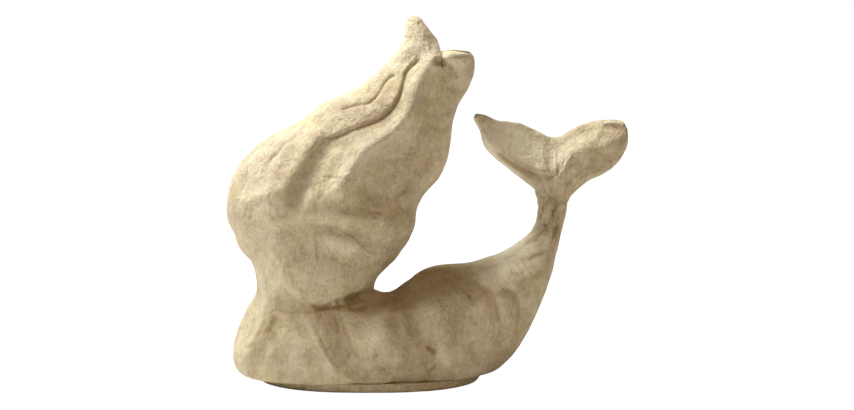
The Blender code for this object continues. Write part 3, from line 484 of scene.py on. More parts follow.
# Three wavy grooves down the flow of the hair at the back, with a crease in part of each
backGrooves = [
    [(16, 131), (10, 122), (0, 115), (-14, 109), (-26, 102), (-36, 93), (-42, 82), (-44, 71)],
    [(28, 133), (24, 124), (17, 113), (6, 104), (-6, 97), (-16, 88), (-22, 78), (-24, 65)],
    [(36, 126), (31, 114), (25, 102), (16, 92), (7, 82), (1, 72), (-2, 60)],
]
backForms = [
    (backGrooves[0], 4, -3), (backGrooves[1], 4.2, -3), (backGrooves[2], 4, -2.8),
    ([(20, 125), (10, 113), (-4, 105), (-17, 97), (-28, 88), (-33, 77)], 5, 2),
    ([(30, 120), (22, 107), (10, 97), (-2, 88), (-10, 78), (-13, 65)], 5, 2),
    # ends of the locks, shoulder blades and spine
    ([(-42, 63), (-36, 54), (-35, 45)], 3.6, -2), ([(-22, 59), (-19, 50), (-20, 42)], 3.6, -2),
    ([(-6, 57), (-4, 49), (-6, 42)], 3.6, -2), ([(-36, 28), (-30, 20)], 8, 2), ([(-12, 29), (-6, 22)], 8, 2),
    ([(-22, 33), (-18, 22), (-4, 16), (12, 18)], 4.5, -1.8),
    # the tail's folds carried round
    ([(34, 43), (41, 37), (44, 28), (42, 18)], 3.2, -1.4),
    ([(46, 45), (53, 41), (55, 32), (55, 18)], 3.2, -1.8),
    ([(55, 44), (61, 44), (65, 35), (65, 27), (62, 18)], 3.2, -2),
]
# Fine creases and sharp folds of the wet paper
frontCreases = [
    # hair
    ([(22, 138), *longOverlap], 0.6, -0.5, -0.2),
    (shortOverlap, 0.55, -0.4, -0.15),
    ([(-37, 99), (-40, 97), (-42, 95), (-43, 93)], 0.55, -0.3),
    ([(-26, 111), (-30, 106), (-35, 103)], 0.6, -0.4), ([(-35, 103), (-37, 100), (-42, 96)], 0.6, -0.3),
    ([(-19, 91), (-11, 90), (-4, 89)], 0.5, -0.35), ([(7, 97), (14, 97), (20, 96)], 0.5, -0.35),
    ([(13, 78), (14, 81), (17, 83)], 0.7, -0.6), ([(14, 77), (14, 74)], 0.6, -0.25),
    ([(-32, 82), (-31, 78)], 0.8, -0.25), ([(3, 76), (5, 75)], 0.8, -0.35), ([(7, 59), (8, 58)], 0.9, -0.6),
    ([(-53, 71), (-51, 75)], 0.7, -0.4), ([(-50, 71), (-48, 74)], 0.6, -0.3),
    ([(-52, 64), (-49, 63)], 0.7, -0.4), ([(29, 136), (31, 136)], 1.5, -1.6),
    ([(34, 135), (35, 134)], 0.8, -0.6), ([(39, 137), (41, 134)], 1, 0.7),
    ([(37, 133), (38, 129)], 0.8, -0.6),
    # face and the fold under the chin
    ([(-25, 68), (-20, 70.5), (-14, 70), (-9, 67), (-5, 64), (0, 61)], 0.7, -0.13),
    ([(-6, 65), (-1, 59), (3, 56)], 0.6, -0.4), ([(-15, 57), (-11, 58)], 0.9, -0.6),
    ([(-11, 53), (-8, 54)], 0.9, -0.7), ([(-21, 65), (-21, 57)], 0.7, -0.25),
    ([(-23, 37), (-21, 34.5), (-17, 35), (-15, 37)], 0.9, -0.8),
    ([(-13, 39), (-12, 36), (-12, 33.5)], 0.9, -0.9), ([(-7, 38), (-3, 38)], 2.2, -1.5),
    ([(-8, 35), (-5, 33.5), (0, 34)], 0.8, -0.8), ([(-20, 34), (-19, 31)], 0.8, -0.6),
    ([(-28, 45), (-26, 38)], 0.6, -0.4),
    # arms and body
    ([(-41, 37), (-41, 33), (-43, 28), (-46, 23), (-50, 18)], 0.9, 0.4, -0.25),
    ([(-38, 33), (-39, 29), (-42, 24)], 1, -0.4), ([(-22, 30), (-19, 23), (-15, 15), (-10, 8)], 0.6, -0.4),
    ([(-11, 32), (-9, 27), (-7, 21), (-3, 14)], 0.9, -0.5),
    ([(-25, 31), (-22, 25), (-18, 17.5), (-13, 11), (-8, 7)], 0.8, 0.5),
    ([(-14, 32), (-12, 29), (-12, 25)], 0.9, -0.7), ([(3, 16), (4, 17)], 0.9, -0.8),
    ([(5, 10), (8, 11)], 0.7, -0.5), ([(-6, 30), (-4, 27)], 0.7, -0.4), ([(-9, 20), (-7, 16)], 0.7, -0.4),
    ([(23, 18.8), (26.5, 17.4), (28, 15.5)], 0.9, -0.8),
    ([(-15, 9.5), (-11, 6.8), (-5, 5.2), (2, 5), (8, 6.5), (11.5, 11), (12.5, 17)], 0.9, 0.35, 0.25),
    ([(24, 18), (27, 17), (29, 16)], 1.2, -0.9), ([(22, 21), (25, 17), (29, 19)], 0.6, 0.4),
    ([(29, 12), (26, 9), (24, 8)], 0.8, -0.7),
    # the tail's rise
    ([(47, 48), (51, 49), (56, 50)], 0.7, -0.45),
    ([(57, 42), (60, 41), (63, 37), (64, 30), (63, 19)], 0.9, -0.45, 0.2), ([(41, 41), (44, 38)], 0.7, -0.6),
    ([(49, 43), (52, 41), (54, 35), (55, 28)], 0.9, -0.4, 0.2),
    ([(60, 47), (64, 47.5), (68, 50)], 0.7, -0.55), ([(62, 44), (66, 46), (69, 48)], 0.6, -0.45),
    ([(60, 50.5), (63, 49), (65, 46)], 0.6, 0.5), ([(64, 52), (66, 49.5), (68, 46)], 0.6, 0.5),
    ([(68, 52), (71, 55), (74, 57)], 0.6, -0.4), ([(62, 55), (66, 57), (70, 60)], 0.5, -0.3),
    ([(58, 51), (63, 54)], 0.6, -0.45), ([(69, 62), (73, 65), (75, 68)], 0.55, -0.5),
    ([(69, 60), (73, 63), (76, 66)], 0.55, -0.4), ([(67, 58), (72, 60), (75, 62)], 0.5, -0.5),
    ([(69, 63.5), (73, 66.5), (74, 69)], 0.5, 0.5), ([(71, 73), (73, 70), (74, 67)], 0.5, -0.5),
    ([(69, 61), (73, 64), (75, 66)], 0.5, 0.5),
    # the twisted stalk: slanting folds, and long ones that run up it
    ([(76.5, 84), (77.5, 76), (78, 68), (78.5, 60)], 0.5, -0.6),
    ([(79.8, 73), (80.1, 67), (79.5, 60)], 0.5, -0.45), ([(74.5, 81), (74.3, 73), (75, 66)], 0.5, -0.45),
    ([(77.2, 80), (77.6, 71), (77, 62)], 0.5, 0.45), ([(82, 76), (81.4, 66), (79.5, 54)], 0.5, 0.45),
    ([(70, 59), (75, 66), (80, 76)], 0.6, -0.7), ([(71, 64), (75, 71), (79, 81)], 0.6, 0.5),
    ([(72, 68), (75, 75), (78, 83)], 0.55, -0.6), ([(74, 60), (78, 67), (82, 78)], 0.6, 0.5),
    ([(77, 58), (81, 66), (83, 74)], 0.55, -0.6), ([(72, 74), (74, 79), (76, 84)], 0.5, 0.4),
    ([(66, 54), (71, 57), (77, 62)], 0.6, 0.5), ([(64, 51), (70, 54), (76, 57)], 0.6, -0.6),
]
backCreases = [
    (backGrooves[0][:5], 1.2, -0.8, 0.2), (backGrooves[1][1:6], 1.2, -0.8, 0.2),
    (backGrooves[2][1:5], 1.1, -0.7, 0.2),
    ([(46, 45), (53, 41), (55, 32)], 1, -0.5), ([(61, 44), (65, 35), (65, 27)], 1, -0.5),
    ([(-20, 30), (-16, 20), (-4, 14)], 1, -0.4), ([(69, 60), (76, 68)], 0.7, -0.6),
    ([(72, 58), (79, 66)], 0.6, -0.5),
]

# Painted light and shade as strokes: above 0 painted light, below 0 painted shade
paintedLightMarks = [
    # tail, stalk and fluke
    ([(50, 48.5), (58, 51.5), (66, 56), (72, 60)], 5.5, 1.3),
    ([(46, 110), (56, 105), (66, 100.5), (74, 96.5)], 8, 1.7),
    ([(54, 98.5), (57, 96), (60, 93.8), (66, 90), (71.5, 87)], 2.1, -1.3),
    ([(47.5, 107), (50, 100.8), (57, 92.8), (65, 86.6)], 1.1, 0.8), ([(45.5, 112), (47, 109)], 2.5, 1.1),
    ([(74, 57), (76, 51), (75, 44)], 3, -0.4), ([(88, 92), (97, 94), (104, 98)], 5, -0.4),
    ([(101, 104.5), (106, 104)], 4, -0.4), ([(78, 84), (79, 74), (79, 64), (77, 52)], 2.4, -0.4),
    # hair
    ([(17, 151), (16, 144), (14, 137)], 5, 0.45), ([(24, 148), (25, 141)], 3.5, 0.5),
    ([(27, 135), (33, 138.5)], 2.5, 0.6), ([(36, 137), (41, 137)], 3, 0.5),
    ([(37, 133), (39, 128)], 3.5, 0.4),
    ([(-13, 89), (-8, 94), (-3, 99), (7, 107), (14, 113), (19, 126), (25, 134)], 3.4, 0.35),
    ([(-21, 103), (-26, 96), (-30, 88), (-33, 80), (-34, 74)], 3.5, -0.22),
    ([(8, 92), (14, 84), (16, 72)], 9, -0.3),
    # face, arms and body
    ([(0, 31), (4, 23)], 4, 0.3), ([(-29, 18), (-26, 12)], 7, 0.2), ([(-14, 64), (-7, 62)], 4, 0.35),
    ([(14, 38), (26, 42), (40, 42)], 6, -0.45), ([(17, 30), (18, 20)], 5, -0.25),
    ([(-12, 31), (-10, 22), (-6, 14)], 4, -0.22), ([(-55, 22), (-53, 8)], 7, -0.2),
    ([(-43, 34), (-45, 27), (-48, 20)], 2.2, -0.4), ([(30.5, 15), (33, 12)], 2.5, 0.45),
]


markLook = {"creaseDepth": 1.4, "mostCrease": 0.7, "backLoss": 0.8, "backFade": 8}


# crease is painted shade: 0 on open paper and mostCrease at the bottom of a crease; the painted light
# and shade follows the strokes and loses the share backLoss towards the back
def markPaper(piece, fine, points):
    frontness = 1 - markLook["backLoss"] * smoothstep(points[..., 1] / markLook["backFade"] + 0.5)
    marks = {"crease": np.clip(-fine / markLook["creaseDepth"], 0, markLook["mostCrease"]),
             "paintedLight": strokeHeight(points[..., 0], points[..., 2], paintedLightMarks) * frontness}
    for name, mark in marks.items():
        values = np.zeros(len(piece.data.vertices), np.float32)
        values[:mark.size] = mark.ravel()
        piece.data.attributes.new(name, "FLOAT", "POINT").data.foreach_set("value", values)


# The piece gets its paper, moves with the figure and stands in for its node
def finishPiece(piece, node):
    piece.data.materials.append(kraftPaper)
    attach(piece, "root")
    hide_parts(node)


# Where the paper is crumpled: x, z, radius, strength
crumples = np.array([
    (76, 66, 9, 0.8), (80, 78, 8, 0.7), (27, 140, 8, 0.7), (30, 88, 10, 0.45), (-50, 72, 10, 0.5),
    (8, 36, 10, 0.4), (30, 14, 9, 0.4), (68, 56, 8, 0.5), (60, 40, 12, 0.3), (-2, 28, 14, 0.25),
    (-20, 60, 14, 0.3), (-48, 14, 10, 0.25), (34, 122, 8, 0.3), (12, 66, 12, 0.3), (66, 48, 6, 0.7),
    (25, 142, 5, 0.5),
], float)
# Lumps everywhere and sharp-crested folds where it is crumpled: size, shift of the noise, height
lumpLayers = [(17, 0, 0.45), (7.5, 3.3, 0.26), (3.4, 7.1, 0.09), (1.7, 2.6, 0.04)]
foldLayers = [(6, 11.7, 0.45), (2.9, 5.9, 0.32), (1.5, 8.4, 0.2)]
leastCrumple = 0.22


def paperLumps(points):
    x, z = points[..., 0, None], points[..., 2, None]
    reach = np.exp(-((x - crumples[:, 0])**2 + (z - crumples[:, 1])**2) / crumples[:, 2]**2)
    crumple = leastCrumple + (reach * crumples[:, 3]).sum(-1)
    lumps = sum(height * softNoise(points, size, shift) for size, shift, height in lumpLayers)
    folds = sum(height * (0.5 - np.abs(softNoise(points, size, shift)))
                for size, shift, height in foldLayers)
    return lumps + crumple * folds


skin = {
    "broadFade": 0.45, "fineFade": 0.2,  # shares of the depth over which relief fades in at the silhouette
    "leastHalf": 1.2,  # of an inner section
    "heel": 0.4, "endHeel": 0.8,  # rounding where the sides meet the flat underside, more at its ends
    "heelMiddle": -3, "heelFrom": 30, "heelSpread": 10,
}


# The underside rests on the board: what lies lower slides up along its section, with a parabola
# over the heel between side and flat
def restOnBoard(points, uAxis, inset):
    above = points[..., 2] - floorHeight - inset
    outward = (np.abs(points[..., 0] - skin["heelMiddle"]) - skin["heelFrom"]) / skin["heelSpread"]
    heel = skin["heel"] + skin["endHeel"] * smoothstep(outward)
    rounded = np.clip(above + heel, 0, 2 * heel)**2 / (4 * heel)
    lifted = np.maximum(rounded, above) - above
    return points + (lifted / np.maximum(uAxis[..., 2], 0.3))[..., None] * uAxis


# A point of the tube: on the superellipse |u|^f + |v|^f = 1 between the far and near points.
# turn is 0 at the near point, pi at the far one; the front half is turn 0 to pi
def tubePoint(table, place, turn, inset=0, detail=True):
    place, turn = np.broadcast_arrays(place, turn)
    row = readTable(table, place)
    far, near = row[..., 0:2], row[..., 2:4]
    full = np.where(np.cos(turn) >= 0, row[..., 7], row[..., 8])
    front = np.sin(turn) >= 0
    depth = np.where(front, row[..., 4], row[..., 5])
    lift = np.where(front, np.radians(row[..., 6]), 0)
    c, s = np.cos(turn), np.abs(np.sin(turn))
    reach = (np.abs(c)**full + s**full)**(-1 / full)
    u, v = c * reach, s * reach
    centre = (far + near) / 2
    half = np.linalg.norm(near - far, axis=-1) / 2
    across = (near - far) / (2 * half[..., None])
    zero = np.zeros(place.shape)
    uAxis = np.stack([across[..., 0], zero, across[..., 1]], -1)
    vAxis = np.stack([zero, np.where(front, -1, 1) * np.cos(lift), np.sin(lift)], -1)
    middle = np.stack([centre[..., 0], zero, centre[..., 1]], -1)

    def at(a, b):
        return middle + (a * u)[..., None] * uAxis + (b * v)[..., None] * vAxis

    surface = at(half, depth)
    x, z = surface[..., 0], surface[..., 2]
    broad = np.where(front, strokeHeight(x, z, frontForms), strokeHeight(x, z, backForms))
    height = broad * smoothstep(s / skin["broadFade"])
    fine = zero
    if detail:
        fine = np.where(front, strokeHeight(x, z, frontCreases, 0.1), strokeHeight(x, z, backCreases, 0.1))
        fine = fine * smoothstep(s / skin["fineFade"])
        height = height + fine + paperLumps(surface)
    nu = np.sign(c) * np.abs(u)**(full - 1) / half
    nv = v**(full - 1) / depth
    length = np.hypot(nu, nv)
    points = at(np.maximum(half - inset, skin["leastHalf"]), np.maximum(depth - inset, skin["leastHalf"]))
    points = points + (height * nu / length)[..., None] * uAxis + (height * nv / length)[..., None] * vAxis
    return restOnBoard(points, uAxis, inset), fine


# The shells: first and last section, and how many rows of the mesh each section gets
shells = {
    "hair": ("split", "hairline", 14),
    "head": ("hairline", "neck", 14),
    "torso": ("neck", "hip", 14),
    "tail": ("hip", "socket", 22),
}
shellSides = {"Front": (0, 150), "Back": (math.pi, 110)}  # where the half turn starts, columns


def makeShell(part, side):
    first, last, rows = shells[part]
    start, end = tubePlace[first], tubePlace[last]
    startTurn, columns = shellSides[side]
    places = np.linspace(start, end, int((end - start) * rows) + 1)[:, None]
    turns = np.linspace(0, math.pi, columns + 1) + startTurn
    outer, fine = tubePoint(tubeTable, places, turns)
    inner, _ = tubePoint(tubeTable, places, turns, wall, detail=False)
    piece = sheetMesh(f"{part}{side}Shell", outer, inner)
    markPaper(piece, fine, outer)
    finishPiece(piece, f"{part}_{side.lower()}_shell")


for part in shells:
    for side in shellSides:
        makeShell(part, side)
    print("shells:", part)


# The torn strips: node, place along the tube, width in sections of it
strips = {
    "neckStrip": ("neck_strip", tubePlace["neck"], 1.1),
    "hairlineStrip": ("hairline_strip", tubePlace["hairline"], 1),
    "waistStrip": ("waist_strip", tubePlace["hip"], 1.3),
    "stalkWrap": ("stalk_wrap", tubePlace["stalk1"] + 0.5, 1.7),
}
# how far a strip stands out and reaches in, how much its edges dip below the skin, and how
# they wander, fray and sway
stripLook = {"proud": 0.16, "sunk": 0.5, "dip": 1.7, "wander": 0.3, "fray": 0.14, "sway": 0.25}


# A band round the tube whose two edges wander like torn paper and sink into the skin
def makeStrip(name, node, at, width):
    turns = np.linspace(0, 2 * math.pi, 361)[:-1]
    along = np.linspace(-1, 1, 25)[:, None]
    wave = np.stack([np.cos(turns) * 9, np.sin(turns) * 9, np.full(len(turns), at)], -1)
    edge = 1 + stripLook["wander"] * softNoise(wave, 3) + stripLook["fray"] * softNoise(wave, 1, 2)
    sway = stripLook["sway"] * softNoise(wave, 5, 4)
    places = at + width / 2 * (along * edge + sway)
    proud = stripLook["proud"] * (1 - stripLook["dip"] * np.abs(along)**10)
    outer, fine = tubePoint(tubeTable, places, turns, -proud)
    inner, _ = tubePoint(tubeTable, places, turns, stripLook["sunk"])
    piece = sheetMesh(name, outer, inner, wrap=True)
    markPaper(piece, fine, outer)
    finishPiece(piece, node)


for name, strip in strips.items():
    makeStrip(name, *strip)
print("torn strips:", len(strips))


# The two ends of the hair: node, side of the plane between them, the point (x, y, z) that the end
# is drawn to, and sections in the form of the tube's
hairEnds = {
    "hairEndBack": ("hair_end_back", -1, (19.2, 2, 154.6), [
        (11.4, 139.9, 34.4, 138.3, 9.2, 9, 12, 1.9, 1.8),
        (14.4, 144.4, 29.6, 144, 7.2, 7.5, 10, 1.9, 1.8),
        (15.4, 148.5, 26.2, 148.5, 5.2, 6, 8, 1.9, 1.9),
        (16.4, 152.3, 23, 152.3, 3, 3.8, 5, 2, 2),
    ]),
    "hairEndFront": ("hair_end_front", 1, (38.2, -2, 140.7), [
        (24.8, 136.9, 45, 134, 9.5, 7.5, 14, 1.8, 1.9),
        (29.3, 138.7, 44.6, 137.1, 8, 5.5, 12, 1.9, 2),
        (33.3, 140.1, 43, 139.3, 5, 3, 8, 2, 2.1),
    ]),
}
# the upright plane between them, by a point (x, y) and its turn
splitAt, splitAngle = np.array([28.5, 0]), math.radians(-14)


# The tube carried on past the split, cut by a slanting upright plane between the two ends,
# then drawn to a point: centre + (ring - centre) * cos q + (point - centre) * sin q
def makeHairEnd(name, node, side, point, rows):
    table = np.vstack([tubeTable[[2, 1, 0]], rows])
    last = len(table) - 1
    places = np.linspace(2, last, 16 * (last - 2) + 1)[:, None]
    turns = np.linspace(0, 2 * math.pi, 241)[:-1]
    rings, fine = tubePoint(table, places, turns)
    normal = np.array([math.cos(splitAngle), -math.sin(splitAngle)])
    row = readTable(table, places[:, 0])
    slope = (row[:, 3] - row[:, 1]) / (row[:, 2] - row[:, 0])
    reach = (rings[..., :2] - splitAt) @ normal * side
    rings[..., :2] -= (np.minimum(reach, 0) * side)[..., None] * normal
    lean = np.tan(np.radians(row[:, 6:7])) * np.maximum(-rings[..., 1], 0)
    rings[..., 2] = row[:, 1:2] + (rings[..., 0] - row[:, 0:1]) * slope[:, None] + lean
    centre = rings[-1].mean(0)
    q = np.linspace(0, math.pi / 2, 10)[1:-1, None, None]
    cap = centre + (rings[-1] - centre) * np.cos(q) + (point - centre) * np.sin(q)
    piece = podMesh(name, np.concatenate([rings, cap]), rings[0].mean(0), point)
    markPaper(piece, fine, rings)
    finishPiece(piece, node)


for name, end in hairEnds.items():
    makeHairEnd(name, *end)
print("hair ends:", len(hairEnds))


# The fluke: lower (x, z) and upper (x, z) outline, half thickness, bow towards the back, half
# depth of the seat on the stalk, height of the crest on its front
fluke = {
    "leftEnd": (44.3, 111.9, 44.7, 113.3, 1, -4.7, 0, 0),
    "leftTip": (44.9, 110.6, 46, 114, 1.6, -4.5, 0, 0.4),
    "leftPoint": (46.9, 106.6, 49.8, 113.1, 2, -4, 0, 1.8),
    "leftOuter": (49.6, 98.8, 55.6, 110.3, 2.4, -2.5, 0, 3),
    "leftMiddle": (58.1, 90.8, 63.8, 109.1, 2.8, 0, 0, 3.6),
    "leftInner": (65.6, 84.7, 70.7, 105.8, 3.4, 0.8, 0, 3.4),
    "leftRoot": (70.3, 81, 75.1, 103.4, 4.2, 0.4, 0, 2.6),
    "leftSeat": (73.5, 76.8, 76.7, 102.8, 4.6, 0.1, 3.9, 2),
    "root": (78.2, 75.8, 78.2, 102.6, 4.8, 0, 4.8, 1.8),
    "rightSeat": (83.2, 74.6, 79.9, 102.8, 4.6, 0.1, 3.9, 1.6),
    "rightRoot": (85.9, 77.9, 81.9, 103.5, 4.2, 0.4, 0, 1.5),
    "rightInner": (89, 81, 84.9, 105.3, 3.4, 0.8, 0, 1.4),
    "rightMiddle": (94, 85, 90.4, 108.2, 2.9, 0.4, 0, 1.4),
    "rightOuter": (101, 88.8, 97.2, 110.3, 2.6, -1.2, 0, 1.2),
    "rightPoint": (105.9, 93.9, 103.6, 111, 2.3, -2.6, 0, 0.8),
    "rightTip": (108.6, 98.6, 107.4, 110.3, 1.9, -3.4, 0, 0.3),
    "rightEnd": (109.5, 102.4, 109.2, 107.4, 1.3, -3.8, 0, 0),
}
flukeTable = np.array(list(fluke.values()), float)
flukeLook = {
    "lean": 0.22, "leanStart": 4,  # slope with which it tips back, from so far above its lower edge
    "fullness": 1.2, "lumps": 0.8, "edgeWobble": 0.5, "edgeFray": 0.25,
    "crestAt": 0.72, "crestClimb": 0.28, "climbFrom": 72, "climbOver": 12,
    "upperRise": 0.6, "thinShare": 0.6, "leastRise": 1.5, "innerShare": 0.55, "innerMost": 0.9,
    "reliefFade": 0.4,
}
flukeForms = [
    # a crest along both halves, steeper below, with a dark band and a thin bead at the edge
    ([(50, 104), (56, 99.5), (62, 95.5), (68, 92.5), (74, 91), (80, 91.5), (86, 96), (93, 98.5), (99, 99.5)],
     8, 1.8),
    ([(54, 100.5), (60, 96), (65, 93), (71, 90.5), (77, 90)], 3.2, 1.3),
    ([(80, 89), (83, 93.5), (87, 97.2), (93, 99), (99, 100), (104, 102)], 3.2, 1.5, 0.2),
    ([(55, 99.5), (60, 95.5), (65, 92.2), (71, 90), (77, 89.5)], 1.5, 0.3, 0.55),
    ([(53, 97.5), (60, 92.3), (66, 88.3), (71, 85.5)], 1.7, -1),
    ([(47.5, 108), (49, 103), (51.5, 99), (57.5, 93.8), (65.5, 87.8), (70.5, 84)], 1.2, 1.5),
    ([(90, 85.5), (98, 89.5), (104, 94)], 1.3, 0.9),
    ([(98.5, 109), (97, 105), (93.5, 103), (91, 101.5)], 2.2, 1.1),
    ([(101, 108), (105, 107.5), (108, 106.5)], 1.3, -0.5),
    ([(101, 110), (105, 110), (108, 108.5)], 1.2, 1.3),
    ([(48, 113), (47.5, 110), (48, 106)], 0.9, -0.7, -0.2), ([(45.5, 112.5), (45.8, 110.5)], 1.4, 1.4),
    ([(74, 78), (74, 84), (73, 87)], 1.5, 0.7), ([(79, 81), (81, 86), (84, 91)], 1.4, 0.9, 0.2),
]
flukeCreases = [
    ([(57, 97.5), (62, 94), (67, 91), (72, 89.5), (77, 89.5)], 0.6, 0.4, 0.1),
    ([(47, 113), (47, 111), (46, 107)], 0.8, -0.45), ([(99, 108), (103, 109), (107, 109)], 0.8, -0.5),
    # folds fanning out of the twisted stalk
    ([(75, 80), (72, 87), (65, 92)], 0.6, -0.5), ([(76, 81), (75, 87), (71, 93)], 0.5, 0.35),
    ([(77, 80), (77, 88), (74, 97)], 0.5, -0.25), ([(78, 80), (79, 88), (79, 97)], 0.6, 0.45),
    ([(79, 80), (81, 87), (83, 95)], 0.5, -0.3), ([(80, 80), (83, 87), (89, 94)], 0.6, 0.45),
    ([(82, 79), (86, 86), (94, 92)], 0.6, -0.4), ([(73, 79), (68, 85), (60, 89)], 0.5, 0.35),
    ([(56, 100), (58, 98)], 0.7, -0.6), ([(102, 95), (103, 91)], 0.6, -0.5),
    ([(90, 105), (96, 107), (104, 107)], 0.5, -0.3), ([(50, 109), (56, 106), (63, 103)], 0.5, -0.2),
    ([(75, 87), (78, 88), (81, 89.5)], 0.7, -0.5), ([(85, 90), (87, 93)], 0.7, 0.5),
    ([(78, 84), (81, 89), (86, 97)], 0.7, 0.6),
]


# One skin: across the fluke the share runs as (1 - cos a) / 2 from the upper outline to the
# lower and the skin rises by half thickness * sin(a)^(1 / fullness), less far round over the stalk
def makeFlukeSkin(side, sign):
    look = flukeLook
    places = np.linspace(0, len(flukeTable) - 1, 18 * (len(flukeTable) - 1) + 1)
    row = readTable(flukeTable, places)
    lower, upper, halfThick, bow = row[:, 0:2], row[:, 2:4], row[:, 4], row[:, 5]
    seat = np.maximum(row[:, 6], 0)
    stop = math.pi - np.arcsin(np.clip(seat / halfThick, 0, 1)**look["fullness"])
    angles = np.linspace(0, 1, 71) * stop[:, None]
    share = (1 - np.cos(angles)) / (1 - np.cos(stop))[:, None]
    rise = halfThick[:, None] * np.abs(np.sin(angles))**(1 / look["fullness"])
    x, z = [upper[:, k, None] + (lower - upper)[:, k, None] * share for k in (0, 1)]
    above = np.maximum(z - lower[:, 1:2] - 0.5 * seat[:, None] - look["leanStart"], 0)
    middle = np.stack([x, bow[:, None] + look["lean"] * above**2 / (above + look["leanStart"]), z], -1)
    fine = strokeHeight(x, z, flukeCreases, 0.1)
    height = strokeHeight(x, z, flukeForms) + fine + look["lumps"] * paperLumps(middle)
    if side == "Front":
        # thinner towards the upper edge, and a crest low on the left half and high on the right
        climb = smoothstep((x - look["climbFrom"]) / look["climbOver"])
        crestAt = look["crestAt"] - look["crestClimb"] * climb
        height = height + row[:, 7:8] * np.minimum(share / crestAt, smoothstep((1 - share) / (1 - crestAt)))
        rise = rise * (look["upperRise"] + (1 - look["upperRise"]) * smoothstep(share / look["thinShare"]))
    raised = rise + height * smoothstep(np.sin(angles) / look["reliefFade"])
    rise = np.maximum(raised, np.minimum(rise, look["leastRise"]))
    wobble = look["edgeWobble"] * softNoise(middle, 9, 1.5) + look["edgeFray"] * softNoise(middle, 3.5, 8.5)
    depth = np.minimum(look["innerShare"] * rise, look["innerMost"])
    zero = np.zeros_like(x)
    outer = middle + np.stack([zero, sign * rise, wobble * (1 - np.sin(angles))], -1)
    inner = middle + np.stack([zero, sign * depth, zero], -1)
    piece = sheetMesh(f"fluke{side}Skin", outer, inner)
    markPaper(piece, fine, outer)
    finishPiece(piece, f"fluke_{side.lower()}_skin")


makeFlukeSkin("Front", -1)
makeFlukeSkin("Back", 1)
print("fluke skins")


board = {"length": 96, "depth": 66, "thickness": 4, "lowerRound": 1.8, "upperRound": 0.2,
         "fullness": 2.5, "ragged": 0.35, "frayed": 0.15}


# A superellipse outline shrunk towards the middle along a rounded edge profile
def makeBoard():
    turns = np.linspace(0, 2 * math.pi, 401)[:-1]
    c, s = np.cos(turns), np.sin(turns)
    full = board["fullness"]
    reach = (np.abs(c)**full + np.abs(s)**full)**(-1 / full)
    outline = np.stack([board["length"] / 2 * c * reach, board["depth"] / 2 * s * reach], -1)
    r, q, t = board["lowerRound"], board["upperRound"], board["thickness"]
    a = np.linspace(0, math.pi / 2, 7)
    inward = np.concatenate([[30, 20, 10, 5], r - r * np.sin(a), q - q * np.cos(a), [5, 10, 20, 30]])
    height = np.concatenate([[0] * 4, r - r * np.cos(a), t - q + q * np.sin(a), [t] * 4])
    size = np.linalg.norm(outline, axis=-1)[:, None]
    rings = np.zeros((len(inward), len(turns), 3))
    rings[..., :2] = outline * (1 - inward[:, None, None] / size)
    rings[..., 2] = height[:, None]
    ragged = board["ragged"] * softNoise(rings, 9, 6) + board["frayed"] * softNoise(rings, 3, 2)
    edge = np.exp(-(inward / 4)**2)[:, None] * ragged
    rings[..., :2] += outline / size * (edge - 0.1)[..., None] * np.exp(-(inward / 8)**2)[:, None, None]
    piece = podMesh("baseBoard", rings, (0, 0, 0), (0, 0, t))
    finishPiece(piece, "base_board")


makeBoard()
print("board")

# The two hidden pieces keep the shape that the frame gives them
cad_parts["tail_core"].data.materials[0] = rolledPaper
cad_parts["fluke_card"].data.materials[0] = hiddenCard


# A matt floor that looks white to the camera and keeps part of the figure's shadow
floorLook = {"half": 4, "colour": (0.88, 0.87, 0.85), "glowShare": 0.85, "glow": 1.16}


def makeFloor():
    h = floorLook["half"]
    mesh = bpy.data.meshes.new("floor")
    mesh.from_pydata([(-h, -h, 0), (h, -h, 0), (h, h, 0), (-h, h, 0)], [], [(0, 1, 2, 3)])
    material = bpy.data.materials.new("floorPaper")
    m = Maker(material)
    ray = m.add("LightPath", output="Is Camera Ray")
    matt = m.add("BsdfDiffuse", None, {"Color": (*floorLook["colour"], 1)})
    glow = m.add("Emission", None, {"Color": (1, 1, 1, 1), "Strength": floorLook["glow"]})
    both = m.add("MixShader", None, {0: ray * floorLook["glowShare"], 1: matt, 2: glow})
    m.add("OutputMaterial", None, {"Surface": both})
    mesh.materials.append(material)
    addObject("floor", mesh)


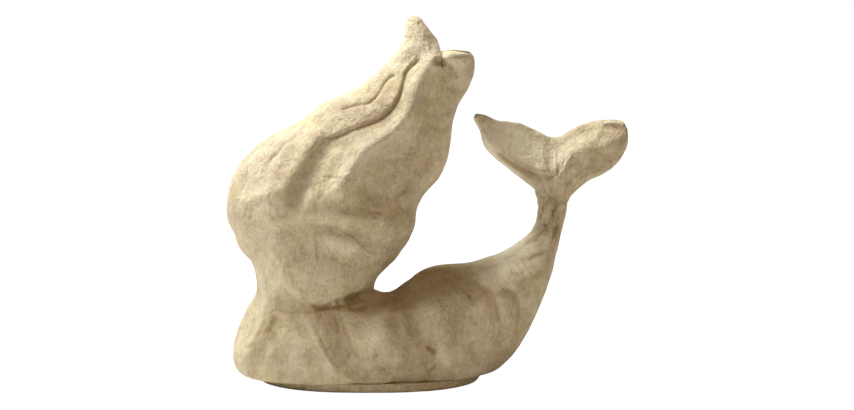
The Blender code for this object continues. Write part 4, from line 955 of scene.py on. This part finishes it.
# azimuth (0 in front of the figure, -90 on its left side), elevation, size, power, colour
lamps = {
    "key": (-117, 64, 0.45, 13.8, (0.85, 0.955, 1)),
    "left": (-80, 38, 0.4, 3.9, (0.95, 0.97, 1)),
    "front": (30, 40, 0.6, 1.45, (1, 0.73, 0.5)),
    "rim": (130, 12, 0.5, 1.4, (1, 0.93, 0.82)),
}
lampDistance = 0.9
figureMiddle = np.array([0.02, 0, 0.07])


def makeLamps():
    for name, (azimuth, elevation, size, power, colour) in lamps.items():
        light = bpy.data.lights.new(name, "AREA")
        light.shape, light.size = "DISK", size
        light.energy, light.color = power, colour
        lampObject = addObject(name, light)
        a, e = math.radians(azimuth), math.radians(elevation)
        way = np.array([math.sin(a) * math.cos(e), -math.cos(a) * math.cos(e), math.sin(e)])
        lampObject.location = figureMiddle + way * lampDistance
        lampObject.rotation_euler = (math.pi / 2 - e, 0, a)


roomLook = {"colour": (1, 0.93, 0.84), "strength": 0.035}


# A faint warm room that lights the figure, and plain white behind it for the camera
def makeWorld():
    world = bpy.data.worlds.new("studio")
    scene.world = world
    m = Maker(world)
    ray = m.add("LightPath", output="Is Camera Ray")
    room = m.add("Background", None,
                 {"Color": (*roomLook["colour"], 1), "Strength": roomLook["strength"]})
    white = m.add("Background", None, {"Color": (1, 1, 1, 1), "Strength": 1})
    both = m.add("MixShader", None, {0: ray, 1: room, 2: white})
    m.add("OutputWorld", None, {"Surface": both})


view = {"target": (0.02465, 0, 0.0742), "distance": 0.95, "elevation": 10, "lens": 94, "sensor": 36}


def makeCamera():
    camera = bpy.data.cameras.new("camera")
    camera.lens, camera.sensor_width = view["lens"], view["sensor"]
    cameraObject = addObject("camera", camera)
    tilt = math.radians(view["elevation"])
    x, y, z = view["target"]
    away = view["distance"]
    cameraObject.location = (x, y - math.cos(tilt) * away, z + math.sin(tilt) * away)
    cameraObject.rotation_euler = (math.pi / 2 - tilt, 0, 0)
    scene.camera = cameraObject


makeFloor()
makeLamps()
makeWorld()
makeCamera()
scene.view_settings.view_transform = "Standard"
print("stage, lamps and camera")
